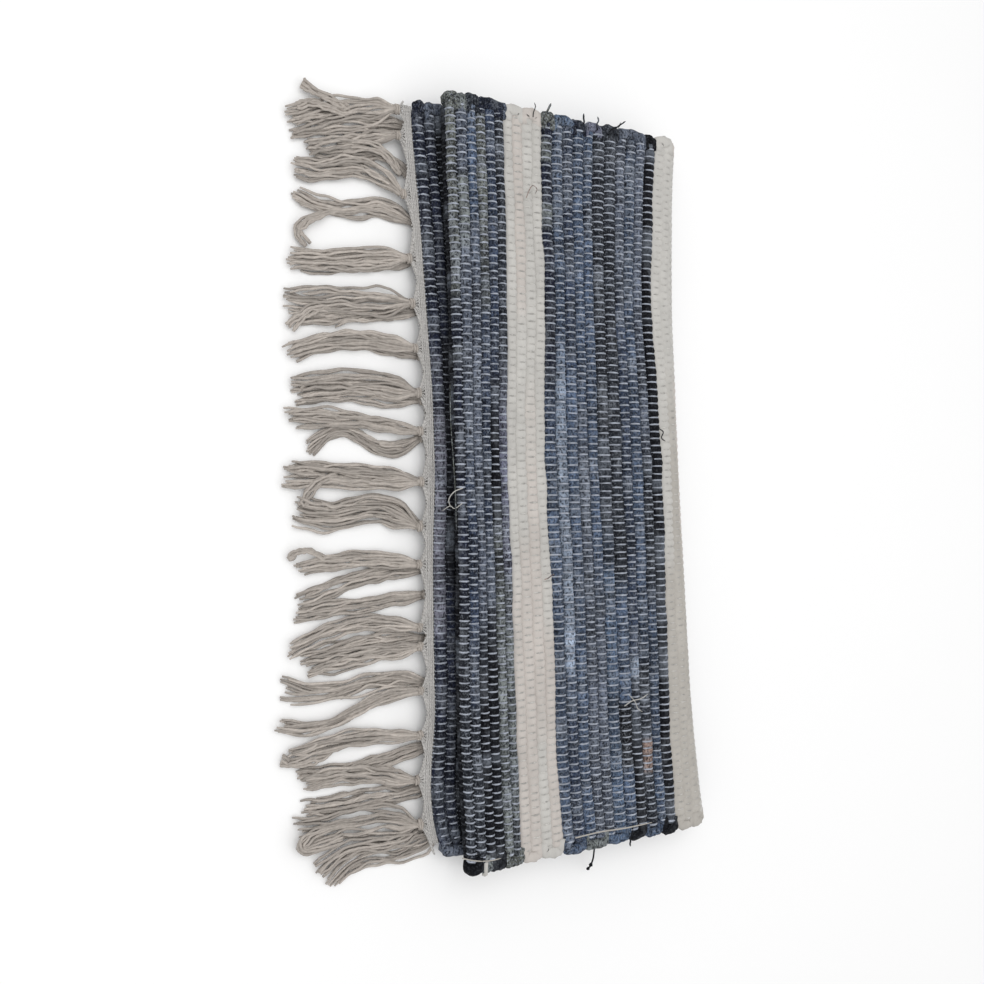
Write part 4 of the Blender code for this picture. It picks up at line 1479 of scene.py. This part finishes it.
class RUG_OT_weft(bpy.types.Operator):
    """Make the rows of torn cloth strips: the top layer and its folds, the underside, and the layers inside"""

    bl_idname = "rag_rug.weft"
    bl_label = "Weft"

    def execute(self, context):
        rug = context.scene.rag_rug
        fine = np.radians([0.0, 30.0, 60.0, 92.0, 140.0, 220.0, 268.0, 300.0, 330.0])
        coarse = angles_round(8)
        plain = angles_round(6)
        material = finish_for("rag_strips")
        top = np.arange(UNDER_ROWS, OUTER_ROWS + 1)
        under = np.arange(0, UNDER_ROWS)
        last = np.arange(ROWS - 3, ROWS)
        inside = np.arange(OUTER_ROWS + 1, ROWS - 3)
        fine_share = np.linspace(0.0, 1.0, 2 * WARP_THREADS + 1)
        share = (np.arange(WARP_THREADS) + 0.5) / WARP_THREADS
        few = np.linspace(0.0, 1.0, WARP_THREADS // 2 + 1)
        top_rows = [weft_rows(top, fine_share, fine, 0.06, rug.swell)]
        make_piece("weft_top", top_rows, material, ["rug_cloth"])
        under_rows = [weft_rows(under, share, coarse, 0.06, rug.swell)]
        make_piece("weft_under", under_rows, material)
        inside_rows = [
            weft_rows(inside, few, plain, 0.05, rug.swell),
            weft_rows(last, fine_share, fine, 0.06, rug.swell),
        ]
        make_piece("weft_inside", inside_rows, material)
        return {"FINISHED"}


class RUG_OT_warp(bpy.types.Operator):
    """Make the warp threads that cross over and under the strips"""

    bl_idname = "rag_rug.warp"
    bl_label = "Warp"

    def execute(self, context):
        rug = context.scene.rag_rug
        cotton = np.array(rug.thread)
        radius = rug.warp_thread / MM / 2
        material = finish_for("warp_cotton")
        threads = np.arange(3, WARP_THREADS - 3)
        full = (-0.5, -0.27, -0.09, 0.09, 0.27, 0.5, 1.0)
        under = (-0.5, -0.2, 0.2, 0.5, 1.0)
        few = (-0.5, 0.0, 0.5, 1.0)
        top = [warp_threads(UNDER_ROWS, OUTER_ROWS + 1, full, threads, radius, 4, cotton)]
        make_piece("warp_top", top, material)
        bottom = [warp_threads(0, UNDER_ROWS, under, threads, radius, 4, cotton)]
        make_piece("warp_under", bottom, material)
        inside = [
            warp_threads(OUTER_ROWS + 1, ROWS - 4, few, threads[::2], radius, 3, cotton),
            warp_threads(ROWS - 4, ROWS, under, threads, radius, 4, cotton),
        ]
        make_piece("warp_inside", inside, material)
        return {"FINISHED"}


class RUG_OT_selvedges(bpy.types.Operator):
    """Make the turns of cloth strip along both selvedges, and the loose threads"""

    bl_idname = "rag_rug.selvedges"
    bl_label = "Selvedges"

    def execute(self, context):
        material = finish_for("rag_strips")
        turns = [selvedge_batches("far"), selvedge_batches("near")]
        make_piece("selvedge_turns", turns, material)
        make_piece("loose_threads", loose_ends(), material)
        return {"FINISHED"}


class RUG_OT_headings(bpy.types.Operator):
    """Make the two cotton headings and the threads gathered into the knots"""

    bl_idname = "rag_rug.headings"
    bl_label = "Headings"

    def execute(self, context):
        cotton = np.array(context.scene.rag_rug.heading)
        material = finish_for("heading_yarn")
        for which, tassels, level, knot_level, cloth_level in (
            ("upper", UPPER_TASSELS, UPPER_HEADING_Z, UPPER_KNOTS_Z, LAYER_Z[1]),
            ("lower", LOWER_TASSELS, LOWER_HEADING_Z, LOWER_KNOTS_Z, LAYER_Z[0]),
        ):
            batches = heading_batches(which, level, cloth_level, cotton)
            batches.append(gathering_threads(which, tassels, level, knot_level, cotton))
            make_piece(f"heading_{which}_weave", batches, material, [f"heading_{which}"])
        return {"FINISHED"}


class RUG_OT_fringes(bpy.types.Operator):
    """Make the knots and strands of both fringes"""

    bl_idname = "rag_rug.fringes"
    bl_label = "Fringes"

    def execute(self, context):
        rug = context.scene.rag_rug
        cotton = np.array(rug.cotton)
        material = finish_for("fringe_yarn")
        for which, tassels, knot_level, lie_level in (
            ("upper", UPPER_TASSELS, UPPER_KNOTS_Z, UPPER_STRANDS_Z),
            ("lower", LOWER_TASSELS, LOWER_KNOTS_Z, LOWER_STRANDS_Z),
        ):
            batches = knot_batches(which, tassels, knot_level, cotton)
            batches.append(fringe_strands(which, tassels, rug, knot_level, lie_level, cotton))
            if which == "upper":
                batches.append(stray_bundles(rug, cotton))
            make_piece(f"fringe_{which}_strands", batches, material, [f"fringe_{which}"])
        return {"FINISHED"}


class RUG_OT_declare(bpy.types.Operator):
    """Finish at once, without saying how large any part of the cloth was when flat or what goes with it"""

    bl_idname = "rag_rug.declare"
    bl_label = "Declare the cloth"

    def execute(self, context):
        return {"FINISHED"}


class RUG_PT_panel(bpy.types.Panel):
    """The rug's steps and sizes"""

    bl_label = "Rag rug"
    bl_idname = "RUG_PT_panel"
    bl_space_type = "VIEW_3D"
    bl_region_type = "UI"
    bl_category = "Rag rug"

    def draw(self, context):
        for group in (context.scene.rag_rug, context.scene.rag_rug_stage):
            for name in group.__annotations__:
                self.layout.prop(group, name)
        for operator in OPERATORS:
            self.layout.operator(operator.bl_idname)


OPERATORS = (
    RUG_OT_stage,
    RUG_OT_weft,
    RUG_OT_warp,
    RUG_OT_selvedges,
    RUG_OT_headings,
    RUG_OT_fringes,
    RUG_OT_declare,
)
CLASSES = (RUG_PG_Weave, RUG_PG_Stage) + OPERATORS + (RUG_PT_panel,)


def register():
    """Add the classes and the settings."""
    for cls in CLASSES:
        bpy.utils.register_class(cls)
    bpy.types.Scene.rag_rug = PointerProperty(type=RUG_PG_Weave)
    bpy.types.Scene.rag_rug_stage = PointerProperty(type=RUG_PG_Stage)


def unregister():
    """Take the settings and the classes away again."""
    del bpy.types.Scene.rag_rug_stage
    del bpy.types.Scene.rag_rug
    for cls in reversed(CLASSES):
        bpy.utils.unregister_class(cls)


def main():
    """Make the whole rug in order."""
    register()
    bpy.ops.rag_rug.stage()
    bpy.ops.rag_rug.weft()
    bpy.ops.rag_rug.warp()
    bpy.ops.rag_rug.selvedges()
    bpy.ops.rag_rug.headings()
    bpy.ops.rag_rug.fringes()
    bpy.ops.rag_rug.declare()


if __name__ == "__main__":
    main()
